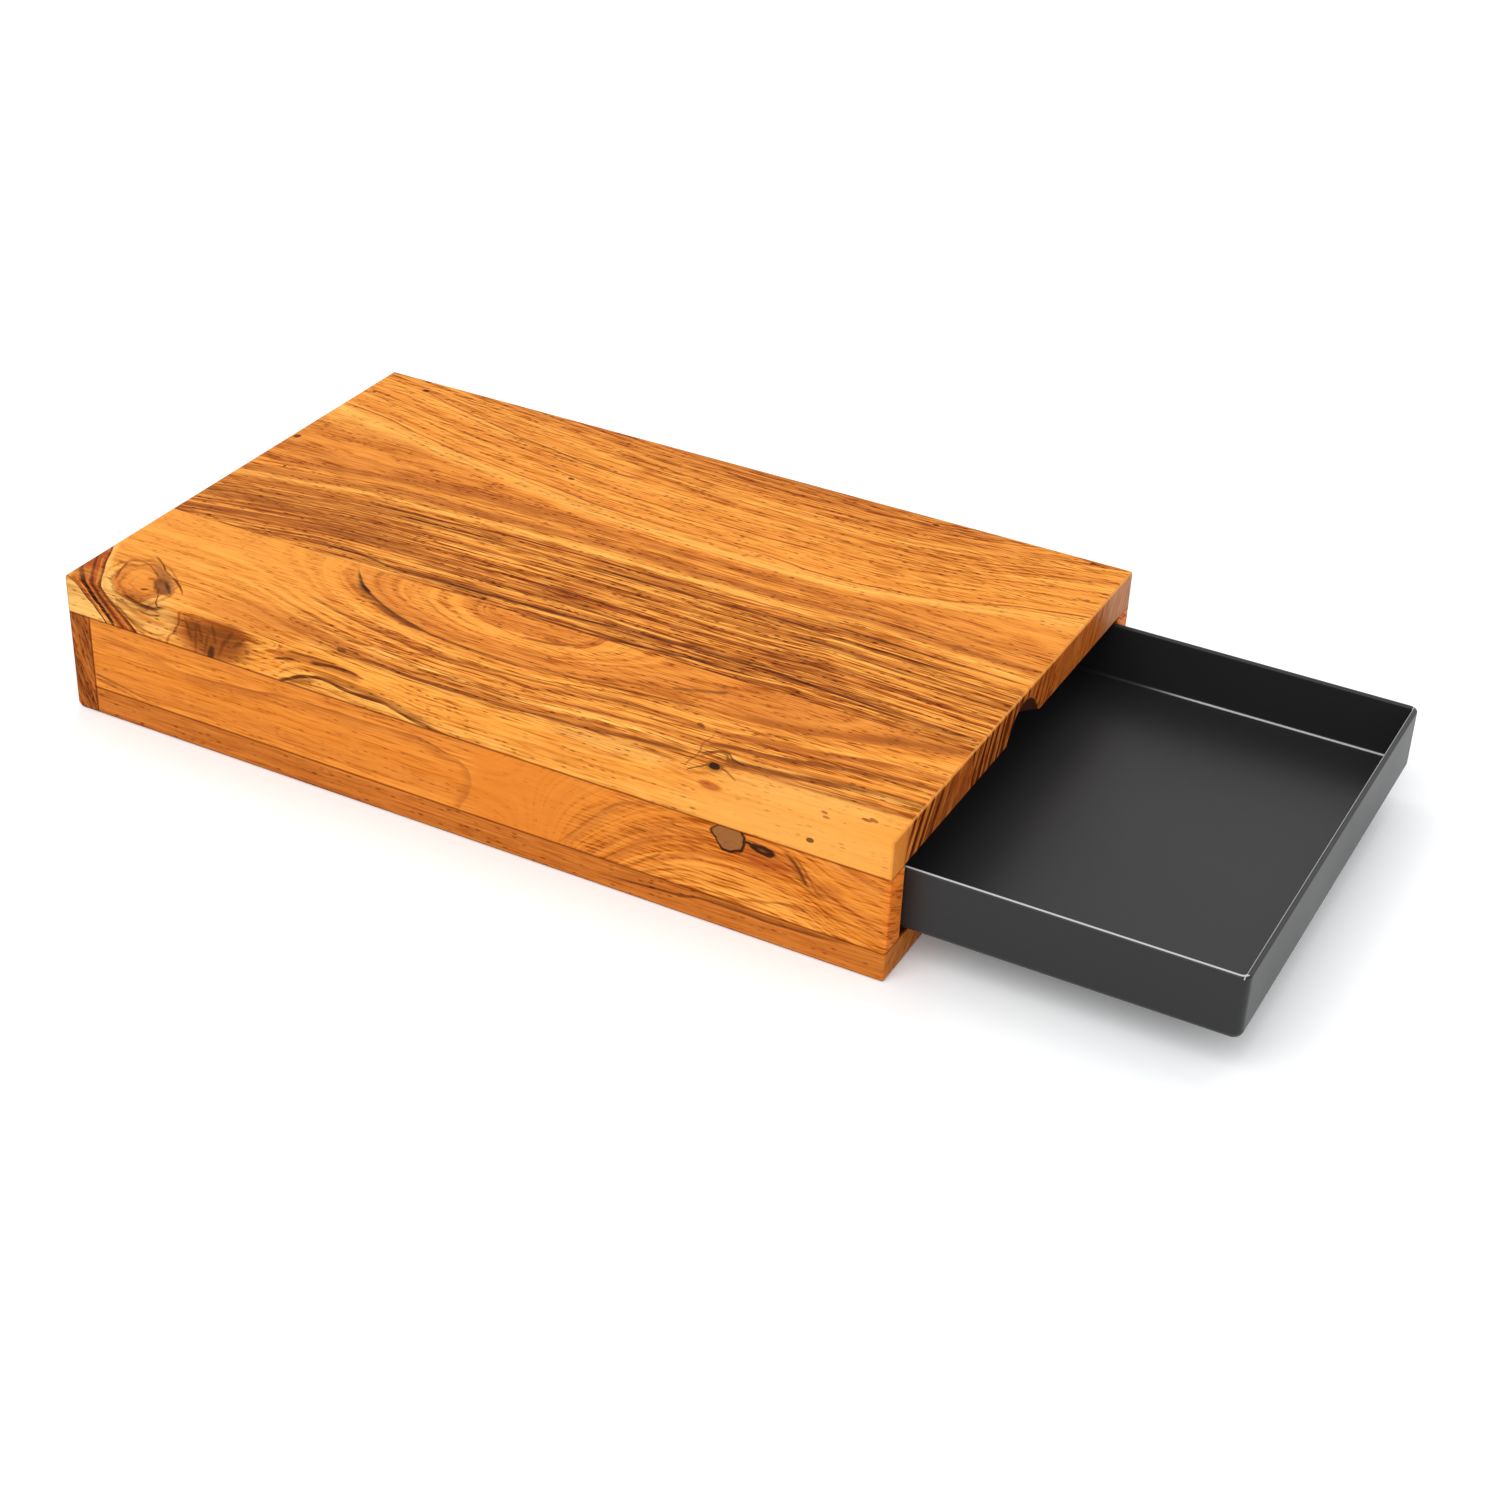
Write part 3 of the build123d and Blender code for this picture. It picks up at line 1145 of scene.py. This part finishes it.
# The dark stripes that run over that corner
FRONT_CORNER: Marks = (
    Stroke(((-191, -86), (-187, -93), (-180, -106), (-172, -116), (-164, -124)),
        Tone.CREAM, 0.6, 3, 5, 0.1, core=3),
    Stroke(STRIPE_EDGE, Tone.BRICK, 0.9, 2, 0.5, 0.1, core=8),
    Stroke(((-191, -95), (-184, -106), (-178, -116), (-174, -121)), Tone.BRICK, 0.9, 2, 2, 0.1, core=18),
    Stroke(SAPWOOD_EDGE, Tone.CREAM, 0.9, 1, 0.6, 0.1, core=24),
    Stroke(STRIPE_EDGE, Tone.UMBER, 0.9, 0.7, 0.5, 0.1, core=0.7),
    Stroke(((-188, -98), (-182, -108), (-177, -116), (-171, -124), (-165, -130), (-157, -138)),
        Tone.GINGER, 0.75, 0.6, 0.6, 2),
    Stroke(((-191, -97), (-186, -106), (-180, -115), (-175, -121.5), (-169, -128.5), (-160, -138)),
        Tone.UMBER, 0.85, 1.2, 0.5, 2, core=0.8),
    Stroke(((-186, -110), (-181, -117), (-176, -123.5), (-170, -130.5), (-163.5, -138)),
        Tone.TAN, 0.8, 0.7, 0.5, 3),
    Stroke(((-191, -109), (-185, -115), (-180, -120.5), (-174, -127.5), (-165, -138)),
        Tone.SOOT, 0.85, 1.4, 0.8, 2, core=1.2),
    Stroke(((-186, -118.5), (-181, -123), (-175, -129.5), (-168, -138)), Tone.HONEY, 0.7, 0.5, 0.3, 3),
    Stroke(SAPWOOD_EDGE, Tone.UMBER, 0.85, 0.6, 0.6, 0.1),
    Stroke(((-176, -118), (-168, -125), (-160, -130), (-148, -135)), Tone.CHESTNUT, 0.6, 2.5, 1.5, 4),
)

# What shows only on the front face of the top
FRONT_FACE: Marks = (
    Spot((-117, -128), (17, 9), Tone.RUSSET, 0.9, 8, soft=0.6),
    Spot((-124, -129), (4, 6), Tone.CHESTNUT, 0.8, 10, soft=1.2),
    Spot((-107, -124), (7, 4), Tone.CHESTNUT, 0.8, 30, soft=1.2),
    Spot((-112, -129), (15, 8), Tone.CHESTNUT, 0.85, 6, soft=0.9),
    *(
        Spot((along, across), (0.9, reach), Tone.UMBER, 0.55, turn, soft=0.9)
        for along, across, reach, turn in (
            (-127, -128, 5, 14), (-123.5, -130, 7, -6), (-121, -127, 4, 10), (-118.5, -132, 6, -14),
            (-114, -126, 5, 6), (-110.5, -131, 5, -24), (-107, -126, 4, -34), (-102, -127, 4, -44),
        )
    ),
    Spot((-116.5, -135), (1.6, 4.5), Tone.SOOT, 0.8, -18, soft=1),
    Stroke(((-140, -139.5), (-134.5, -138), (-131.5, -135), (-128, -133), (-124, -131.8), (-119.5, -131.4)),
        Tone.CHESTNUT, 0.7, 0.4, 0.9, 2, upright=True),
    Stroke(((-84, -138.5), (-78, -135.3), (-72, -132.5), (-66, -131), (-62, -130.3), (-58, -130.5),
        (-53, -131.5), (-46, -132.4), (-34, -132), (-28, -133.2), (-20, -135.3), (-12, -136.5),
        (0, -138.3)), Tone.UMBER, 0.9, 0.6, 0.8, 3, core=0.5),
    Stroke(((-66, -129.5), (-52, -130), (-36, -131), (-22, -133.5), (-5, -136.5)),
        Tone.CHESTNUT, 0.6, 1.4, 2.4, 10),
    Stroke(((-80, -137.5), (-72, -134.5), (-62, -132.5)), Tone.CHESTNUT, 0.6, 0.8, 1, 5),
    Stroke(((-88, -126.5), (-78, -123.5), (-66, -122.6), (-54, -122.8), (-40, -124.5)),
        Tone.RUSSET, 0.7, 2.6, 1.2, 6, core=1),
    Stroke(((-79, -122.3), (-70, -122.2), (-62, -121.7), (-52, -121.8)), Tone.UMBER, 0.7, fade=4),
    Stroke(((-68, -124.6), (-60, -123.8), (-54, -123.2), (-48, -123.1), (-41, -124.6)),
        Tone.UMBER, 0.85, 0.7, 0.6, 4),
    Stroke(((-86, -129), (-79, -126.4), (-72, -125.2)), Tone.UMBER, 0.8, 0.7, 0.6, 4),
    Stroke(((-10, -137), (10, -137.4), (36, -137.8)), Tone.RUSSET, 0.6, 0.8, 1.6, 10),
    Stroke(((-122, -120.5), (-108, -120.5), (-96, -120.7)), Tone.BRICK, 0.6, 1.2, 1, 4),
    Spot((150, -129), (46, 9), Tone.CREAM, 0.3, soft=1.2),
    Spot((157, -131.3), (0.9, 0.5), Tone.SOOT, 0.8, 30),
    Spot((114, -121.5), (5, 1.8), Tone.BRICK, 0.75, soft=0.8),
)

# The figure of the rear stave
REAR_TOP: Marks = (
    Spot((-154, -24), (64, 25), Tone.TAN, 0.45, 4, soft=1),
    Stroke(((-191, 11), (-170, 15), (-150, 19.5), (-134, 24), (-120, 27), (-103, 29), (-78, 31),
        (-40, 31.5), (0, 31)), Tone.RUSSET, 0.62, 6, 4, 30),
    Stroke(((-20, 31), (60, 31.5), (120, 30), (191, 29)), Tone.RUSSET, 0.45, 5, 3, 40),
    Stroke(((-191, 0.3), (-165, 3.2), (-149, 6.5), (-134, 10.5), (-115, 13.2), (-100, 14), (-65, 17),
        (-40, 20.7), (0, 21.5), (60, 22), (100, 21), (191, 16)), Tone.RUSSET, 0.5, 3, 2.5, 4),
    Stroke(((-167, 110.7), (-153, 105.7), (-133, 100), (-115.5, 95.7), (-99, 91.3), (-78, 87.5),
        (-59, 84.4), (-30, 82.5)), Tone.CHESTNUT, 0.75, 0.45, 0.4),
    Stroke(((-189, 79), (-172, 76.9), (-142, 69.4), (-120.5, 64.4), (-97, 60.7), (-78, 58.2), (-59, 55.7),
        (-34, 51.5), (0, 50), (30, 50), (56, 48.8), (77.5, 46.9), (106, 49.4), (119, 51.3), (131, 53.8),
        (146, 59.4), (160, 65), (175, 68.8), (191, 72.5)), Tone.CHESTNUT, 0.75, 0.5, 0.35, 3),
    Stroke(((-128, -0.6), (-90, 1.9), (-70, 4.4), (-34, 6.9), (0, 7.5), (60, 8.2), (87, 10), (125, 8.8),
        (156, 8.2), (191, 7.5)), Tone.UMBER, 0.8, 0.6, 0.45, 12),
    Stroke(((-109, -3.7), (-87, -1.9), (-59, -0.6), (0, 0.7), (50, 1.9), (81, 3.2), (106, 1.9), (160, 1)),
        Tone.UMBER, 0.8, 0.8, 0.6, 12),
    Stroke(((85, -7.5), (110, -6.2), (125, -8.7), (150, -10.8)), Tone.UMBER, 0.6, 0.6, 1.8, 10),
    Stroke(((-55, -43.4), (0, -40.8), (31, -38.2), (87, -36.4), (125, -38), (156, -39.4), (191, -40.6)),
        Tone.UMBER, 0.85, 0.9, 0.9, 10),
    Stroke(((-12, -47.8), (12.5, -48.4), (31, -47.6), (56, -45), (95, -43.4)), Tone.UMBER, 0.85, 0.7, 1, 8),
    Stroke(((-120, -44), (-100, -41.5), (-75, -43.9), (-50, -43), (-37, -42.5), (-7, -41)),
        Tone.UMBER, 0.75, 0.8, 0.8, 10),
    *(
        Spot((along, across), (size, size * 0.8), Tone.SOOT, 0.85, 20)
        for along, across, size in (
            (-165, 110, 1.5), (-185, 96, 1.1), (-183.6, 72.5, 0.8), (-186.8, 38, 1.6), (-72.4, 110.7, 1.3),
            (100.6, 114.4, 1.5), (172.5, 116.9, 1.2), (-174, 10, 0.8), (-58.6, 67.5, 0.7),
        )
    ),
)

# The figure of the front rail
RAIL_FACE: Marks = (
    Stroke(((-180, 41), (-150, 38), (-125, 34.5), *CATHEDRAL), Tone.RUSSET, 0.6, 7, 0.4, 12),
    Stroke(((-130, 34.2), *CATHEDRAL), Tone.CHESTNUT, 0.4, 0.5, 0.4, 12),
    Stroke(((12, 1), (18, 4.7), (24, 7.4), (28, 8.4), (31.5, 7.9), (35, 5), (37.6, 0)),
        Tone.RUSSET, 0.6, 5, 0.4, 2, upright=True),
    Stroke(((-70, 24), (-40, 27), (-25, 25), (-18, 21), (-15, 15)), Tone.GINGER, 0.6, 1.5, 1, 6),
    Stroke(((20, 14), (33, 20), (42, 27), (54, 38)), Tone.GINGER, 0.6, 3, 2, 6),
    Stroke(((50, 12), (60, 24), (72, 37), (78, 43)), Tone.TAN, 0.5, 4, 3, 5),
    Stroke(((70, 12), (85, 26), (100, 42)), Tone.TAN, 0.6, 5, 4, 4),
    Stroke(((86, 13), (98, 24), (108, 30), (122, 33.5)), Tone.TAN, 0.5, 3, 2, 6),
    Stroke(((-180, 20), (-165, 17.2), (-150, 14.5)), Tone.CHESTNUT, 0.6, 0.6, 0.6, 3),
    Stroke(((-180, 17.4), (-168, 15.4), (-156, 13.6)), Tone.CHESTNUT, 0.5, fade=3),
    Spot((137, 38.5), (13, 5), Tone.BRICK, 0.55, -8, soft=0.9),
    Spot((123.5, 42.4), (7.2, 6.4), Tone.SOOT, 0.95, 12, soft=0.12),
    Spot((123.3, 42.8), (6.2, 5.6), Tone.BARK, 0.9, 12, soft=0.12),
    Spot((137.5, 41.4), (5.8, 2.4), Tone.SOOT, 0.95, -8, soft=0.25),
    Spot((137.8, 41.3), (2.6, 0.9), Tone.CHESTNUT, 0.6, -8, soft=0.8),
    Stroke(((130, 42.4), (133, 42.6)), Tone.SOOT, 0.9, 0.7, 0.7, 0.6),
    Stroke(((29, 159), (33, 156.5), (38, 153.5), (42, 150.5), (46, 145)),
        Tone.CHESTNUT, 0.75, 4, 1.2, 5, upright=True),
    Stroke(((30, 158), (34, 155.6), (38, 153), (42, 149.6), (45.4, 144)),
        Tone.UMBER, 0.75, 0.7, 0.5, 4, upright=True),
    Stroke(((26, 166), (30, 161.5), (36, 157.4), (41, 153.5), (46, 149)),
        Tone.CHESTNUT, 0.7, 0.8, 0.8, 5, upright=True),
    Stroke(((131, 36.8), (137, 35.8), (143, 36.3), (148, 38.6)), Tone.BRICK, 0.8, 1.8, 1.2, 3),
    Stroke(((128, 35.4), (137, 33.6), (146, 34.6), (152, 37.4)), Tone.RUSSET, 0.6, 1, 1, 4),
    Spot((165, 33), (6, 3.4), Tone.RUSSET, 0.5, 10, soft=1),
    Stroke(((168, 47), (172, 45.6), (180, 43), (190, 40)), Tone.RUSSET, 0.5, 1.6, 1.2, 3),
    Stroke(((48, 13), (61, 27), (70, 36.6), (80, 43), (90, 45)), Tone.CHESTNUT, 0.4, 0.8, 0.8, 4),
    Stroke(((80, 13.5), (88, 19.5), (96, 26)), Tone.CHESTNUT, 0.55, 0.8, 0.8, 3),
    Stroke(((126, 15.5), (140, 18.5), (152, 21), (168, 21.5), (190, 18)), Tone.CHESTNUT, 0.5, fade=6),
)

# The figure on the front edge of the bottom
BOTTOM_EDGE: Marks = (
    Stroke(((60, 5.4), (80, 6.7), (105, 8.5), (117, 10.2), (139, 9.9), (160, 11), (180, 12.4)),
        Tone.UMBER, 0.7, fade=20),
    Stroke(((110, 11), (140, 10.8), (165, 11.6), (180, 12.8)), Tone.CHESTNUT, 0.5, 0.8, 1.6, 10),
)


def dress(node: str, material: bpy.types.Material) -> None:
    """Gives a CAD node its finish.

    Args:
        node: the node's name.
        material: its material.
    """
    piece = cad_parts[node]
    piece.data.materials.clear()
    piece.data.materials.append(material)
    log.info("%s: %s", node, material.name)


@dataclass(frozen=True)
class CuttingSurface:
    """The two glued staves of the top. Lengths are in millimetres.

    Attributes:
        joint: where the staves meet, on Y.
        underside: how high their lower face is.
    """

    joint: float = TOP_JOINT
    underside: float = UNDER_TOP

    def seams(self, share: float) -> tuple[Seam, ...]:
        """Lists a stave's glue lines, with how dark the one between the staves is on it."""
        return Seam(Axis.Y, self.joint, share, 0.45), Seam(Axis.Z, self.underside)

    def front_stave(self) -> Timber:
        """Describes the light knotty stave."""
        return KnottyStave(
            name="knotty_light_wood",
            tones=(
                (0, Tone.GINGER), (9, Tone.GINGER), (13, Tone.AMBER), (18, Tone.HONEY), (22, Tone.AMBER),
                (27, Tone.GINGER), (33, Tone.GINGER), (36, Tone.AMBER), (40, Tone.HONEY), (43, Tone.AMBER),
                (46, Tone.GINGER), (48, Tone.HONEY), (51, Tone.AMBER), (54, Tone.AMBER), (57, Tone.STRAW),
                (60, Tone.AMBER), (63, Tone.GINGER), (66, Tone.HONEY), (70, Tone.HONEY), (76, Tone.HONEY),
                (84, Tone.STRAW), (92, Tone.STRAW),
            ),
            contrast=((0, 0.7), (30, 0.7), (44, 1.2), (64, 1.4), (70, 0.9), (76, 0.6), (95, 0.6)),
            streaks=((0, 0.05), (26, 0.1), (34, 0.2), (42, 0.3), (64, 0.45), (70, 0.2), (95, 0.15)),
            features=FRONT_TOP + BIG_KNOT + FRONT_CORNER + FRONT_FACE,
            seams=self.seams(0.35),
            plain_tone=Tone.HONEY,
            rungs=1.0,
        )

    def rear_stave(self) -> Timber:
        """Describes the wide streaked stave."""
        return StreakedStave(
            name="streaked_wood",
            tones=(
                (-50, Tone.AMBER), (-47, Tone.GINGER), (-44, Tone.HONEY), (-38, Tone.GINGER),
                (-35, Tone.HONEY), (-28, Tone.AMBER), (-23, Tone.GINGER), (-20, Tone.HONEY),
                (-17, Tone.AMBER), (-11, Tone.HONEY), (-8, Tone.AMBER), (-2, Tone.HONEY), (5, Tone.AMBER),
                (10, Tone.AMBER), (13, Tone.STRAW), (16, Tone.HONEY), (21, Tone.TAN), (25, Tone.AMBER),
                (29, Tone.AMBER), (33, Tone.GINGER), (37, Tone.AMBER), (42, Tone.STRAW), (48, Tone.HONEY),
                (53, Tone.AMBER), (61, Tone.HONEY), (69, Tone.AMBER), (76, Tone.HONEY), (84, Tone.AMBER),
                (90, Tone.HONEY), (100, Tone.AMBER), (110, Tone.GINGER), (121, Tone.GINGER),
            ),
            contrast=(
                (-50, 1.4), (-20, 1.4), (-5, 1.3), (8, 1), (14, 0.8), (22, 1), (34, 0.8), (42, 0.5),
                (60, 0.75), (85, 0.8), (100, 1), (121, 1.2),
            ),
            streaks=(
                (-50, 0.75), (-20, 0.75), (-4, 0.7), (8, 0.45), (14, 0.15), (22, 0.25), (34, 0.2),
                (44, 0.08), (70, 0.15), (95, 0.25), (110, 0.4), (121, 0.5),
            ),
            features=REAR_TOP,
            seams=self.seams(0.45),
            pores=0.8,
            rungs=1.0,
        )

    def dress(self) -> None:
        """Dresses both staves."""
        dress("top_front_stave", self.front_stave().material())
        dress("top_rear_stave", self.rear_stave().material())


@dataclass(frozen=True)
class Housing:
    """The rails and the bottom under the cutting surface, and the dowels inside them.

    Lengths are in millimetres.

    Attributes:
        underside: how high the lower face of the cutting surface is.
        floor: how high the upper face of the bottom is.
        back_inner: where the inner face of the back rail is, on X.
    """

    underside: float = UNDER_TOP
    floor: float = BOTTOM_TOP
    back_inner: float = BACK_INNER

    def rail(self, name: str, face: float, features: Marks = ()) -> Timber:
        """Describes a side rail.

        Args:
            name: the material's name.
            face: where its outer face is on the Y axis.
            features: the strokes and spots of its figure.

        Returns:
            Its finish.
        """
        return RailTimber(
            name=name,
            tones=(
                (0, Tone.EMBER), (14, Tone.AMBER), (20, Tone.GINGER), (28, Tone.EMBER), (36, Tone.AMBER),
                (46, Tone.GINGER), (58, Tone.EMBER), (66, Tone.GINGER), (74, Tone.EMBER), (80, Tone.GINGER),
                (88, Tone.EMBER), (94, Tone.AMBER), (102, Tone.HONEY), (120, Tone.HONEY),
            ),
            contrast=((0, 0.4), (50, 0.45), (62, 0.65), (90, 0.8), (102, 0.9), (120, 0.9)),
            streaks=((0, 0.03), (60, 0.08), (90, 0.15), (120, 0.25)),
            plain_tone=Tone.EMBER,
            pores=0.4,
            end_tone=Tone.FLAME,
            features=features,
            seams=(Seam(Axis.Z, self.underside), Seam(Axis.Z, self.floor), Seam(Axis.X, self.back_inner)),
            face=face,
        )

    def bottom(self, name: str, face: float, features: Marks = ()) -> Timber:
        """Describes a bottom stave.

        Args:
            name: the material's name.
            face: where its outer edge is on the Y axis.
            features: the strokes of its figure.

        Returns:
            Its finish.
        """
        return FloorTimber(
            name=name,
            tones=(
                (-190, Tone.GINGER), (-150, Tone.TAN), (-110, Tone.GINGER), (-70, Tone.TAN),
                (-30, Tone.GINGER), (0, Tone.TAN), (5, Tone.TAN), (13, Tone.TAN), (20, Tone.GINGER),
                (60, Tone.TAN),
            ),
            contrast=((-190, 0.5), (-10, 0.5), (4, 0.38), (60, 0.38)),
            streaks=((-190, 0.2), (60, 0.2)),
            ends=0.0,
            features=features,
            seams=(Seam(Axis.Z, self.floor), Seam(Axis.X, self.back_inner)),
            face=face,
        )

    def back(self) -> Timber:
        """Describes the back rail."""
        return BackTimber(
            name="dark_back_wood",
            tones=(
                (-191, Tone.CHESTNUT), (-186, Tone.RUSSET), (-181, Tone.CHESTNUT), (-176, Tone.RUSSET),
                (-171, Tone.CHESTNUT), (-162, Tone.RUSSET),
            ),
            contrast=((-191, 0.9), (-162, 0.9)),
            streaks=((-191, 0.4), (-162, 0.4)),
            seams=(Seam(Axis.Z, self.underside), Seam(Axis.X, self.back_inner)),
            end_at=HALF_WIDTH,
            ends=0.0,
        )

    def dowel(self) -> Timber:
        """Describes the dowels' plain pale wood."""
        return Timber(
            name="dowel_wood",
            tones=((0, Tone.BEECH), (50, Tone.BEECH)),
            contrast=((0, 0.4), (50, 0.4)),
            streaks=((0, 0.1), (50, 0.1)),
        )

    def dress(self) -> None:
        """Dresses the rails, the bottom and the dowels."""
        front = self.rail("front_rail_wood", -HALF_WIDTH, RAIL_FACE)
        rear = self.rail("rear_rail_wood", HALF_WIDTH)
        dress("front_rail", front.material())
        dress("rear_rail", rear.material())
        dress("back_rail", self.back().material())
        front_bottom = self.bottom("front_bottom_wood", -HALF_WIDTH, BOTTOM_EDGE)
        rear_bottom = self.bottom("rear_bottom_wood", HALF_WIDTH)
        dress("bottom_front_stave", front_bottom.material())
        dress("bottom_rear_stave", rear_bottom.material())
        beech = self.dowel().material()
        dress("rail_dowels", beech)
        dress("bottom_dowels", beech)


@dataclass(frozen=True)
class Tray:
    """The black tray that slides out of the housing.

    Attributes:
        finish: its finish.
    """

    finish: SatinBlack = SatinBlack()

    def dress(self) -> None:
        """Dresses the tray."""
        dress("tray", self.finish.material())


@dataclass(frozen=True)
class Lamp:
    """A soft square lamp. Lengths are in metres.

    Attributes:
        name: its name.
        place: where it hangs.
        size: how wide it is.
        power: its power in watts.
        aim: the point that it faces.
    """

    name: str
    place: Triple
    size: float
    power: float
    aim: Triple = (0.0, 0.0, 0.03)

    def hang(self) -> None:
        """Puts the lamp in the scene."""
        light = bpy.data.lights.new(self.name, "AREA")
        light.energy = self.power
        light.size = self.size
        lamp = bpy.data.objects.new(self.name, light)
        lamp.location = self.place
        lamp.rotation_euler = (Vector(self.aim) - Vector(self.place)).to_track_quat("-Z", "Y").to_euler()
        bpy.context.scene.collection.objects.link(lamp)


@dataclass(frozen=True)
class Studio:
    """The camera, the lamps, the white surroundings and the floor.

    Attributes:
        azimuth: the camera's turn about Z in degrees, where 0 looks along +Y.
        elevation: how far it looks down, in degrees.
        roll: how far it is tilted about its own axis, in degrees.
        distance: how far it is from what it looks at, in metres.
        target: the point that it looks at, in metres.
        lens: its focal length in millimetres.
        ambient: how brightly the surroundings light the object, where they look as bright as 1.
        floor_reach: how far the floor goes on each side of the middle, in metres.
        floor_glow: how much the floor glows near the object, and how much more far away.
        floor_far: how far from the middle it begins to glow more and glows most, in millimetres.
        lamps: the lamps.
    """

    azimuth: float = 26.425
    elevation: float = 32.305
    roll: float = 2.631
    distance: float = 1.09862
    target: Triple = (0.08595, -0.03076, 0.02)
    lens: float = 64.298
    ambient: float = 0.8
    floor_reach: float = 1.8
    floor_glow: Point = (0.12, 0.6)
    floor_far: Point = (600, 1500)
    lamps: tuple[Lamp, ...] = (
        Lamp("key_lamp", (0.05, -1.0, 1.3), 1.1, 10.0),
        Lamp("rear_lamp", (0.5, 1.3, 1.1), 0.7, 3.0),
        Lamp("rim_lamp", (-0.36, 0.3, 1.39), 0.35, 1.0),
    )

    def camera(self) -> None:
        """Sets up the camera at the photograph's viewing angle."""
        turn = Matrix.Rotation(math.radians(self.azimuth), 4, "Z")
        turn = turn @ Matrix.Rotation(math.radians(90 - self.elevation), 4, "X")
        turn = turn @ Matrix.Rotation(math.radians(self.roll), 4, "Z")
        data = bpy.data.cameras.new("camera")
        data.lens = self.lens
        data.clip_start = 0.01
        camera = bpy.data.objects.new("camera", data)
        back = turn.col[2].to_3d()
        camera.matrix_world = Matrix.Translation(Vector(self.target) + back * self.distance) @ turn
        bpy.context.scene.collection.objects.link(camera)
        bpy.context.scene.camera = camera

    def surroundings(self) -> None:
        """Makes the white surroundings, which light the object less than they show."""
        world = bpy.data.worlds.new("surroundings")
        bpy.context.scene.world = world
        world.use_nodes = True
        nodes, links = world.node_tree.nodes, world.node_tree.links
        background = nodes["Background"]
        background.inputs["Color"].default_value = Tone.PAPER.linear
        rays = nodes.new("ShaderNodeLightPath")
        seen = nodes.new("ShaderNodeMath")
        seen.operation = "MAXIMUM"
        links.new(rays.outputs["Is Camera Ray"], seen.inputs[0])
        links.new(rays.outputs["Is Glossy Ray"], seen.inputs[1])
        strength = nodes.new("ShaderNodeMapRange")
        links.new(seen.outputs[0], strength.inputs["Value"])
        strength.inputs["To Min"].default_value = self.ambient
        strength.inputs["To Max"].default_value = 1.0
        links.new(strength.outputs[0], background.inputs["Strength"])

    def floor(self) -> None:
        """Lays a white floor that keeps the object's shadow."""
        mesh = bpy.data.meshes.new("floor")
        shape = bmesh.new()
        bmesh.ops.create_grid(shape, x_segments=1, y_segments=1, size=self.floor_reach)
        shape.to_mesh(mesh)
        shape.free()
        floor = bpy.data.objects.new("floor", mesh)
        bpy.context.scene.collection.objects.link(floor)
        graph = Graph("floor_white")
        seen = graph.seen()
        site = graph.site()
        far = site.x.length(site.y).step(*self.floor_far)
        near_glow, far_glow = self.floor_glow
        mesh.materials.append(
            graph.finish(
                Base_Color=(0.96, 0.975, 0.985, 1.0),
                Roughness=1.0,
                Specular_IOR_Level=0.0,
                Emission_Color=Tone.PAPER,
                Emission_Strength=seen * (far * far_glow + near_glow),
            )
        )

    def build(self) -> None:
        """Builds the whole studio."""
        bpy.context.scene.view_settings.view_transform = "Standard"
        self.camera()
        self.surroundings()
        self.floor()
        for lamp in self.lamps:
            lamp.hang()


def main() -> None:
    """Dresses the object and builds the studio round it."""
    logging.basicConfig(level=logging.INFO, format="%(name)s: %(message)s")
    for assembly in (CuttingSurface(), Housing(), Tray()):
        assembly.dress()
    Studio().build()


if __name__ == "__main__":
    main()
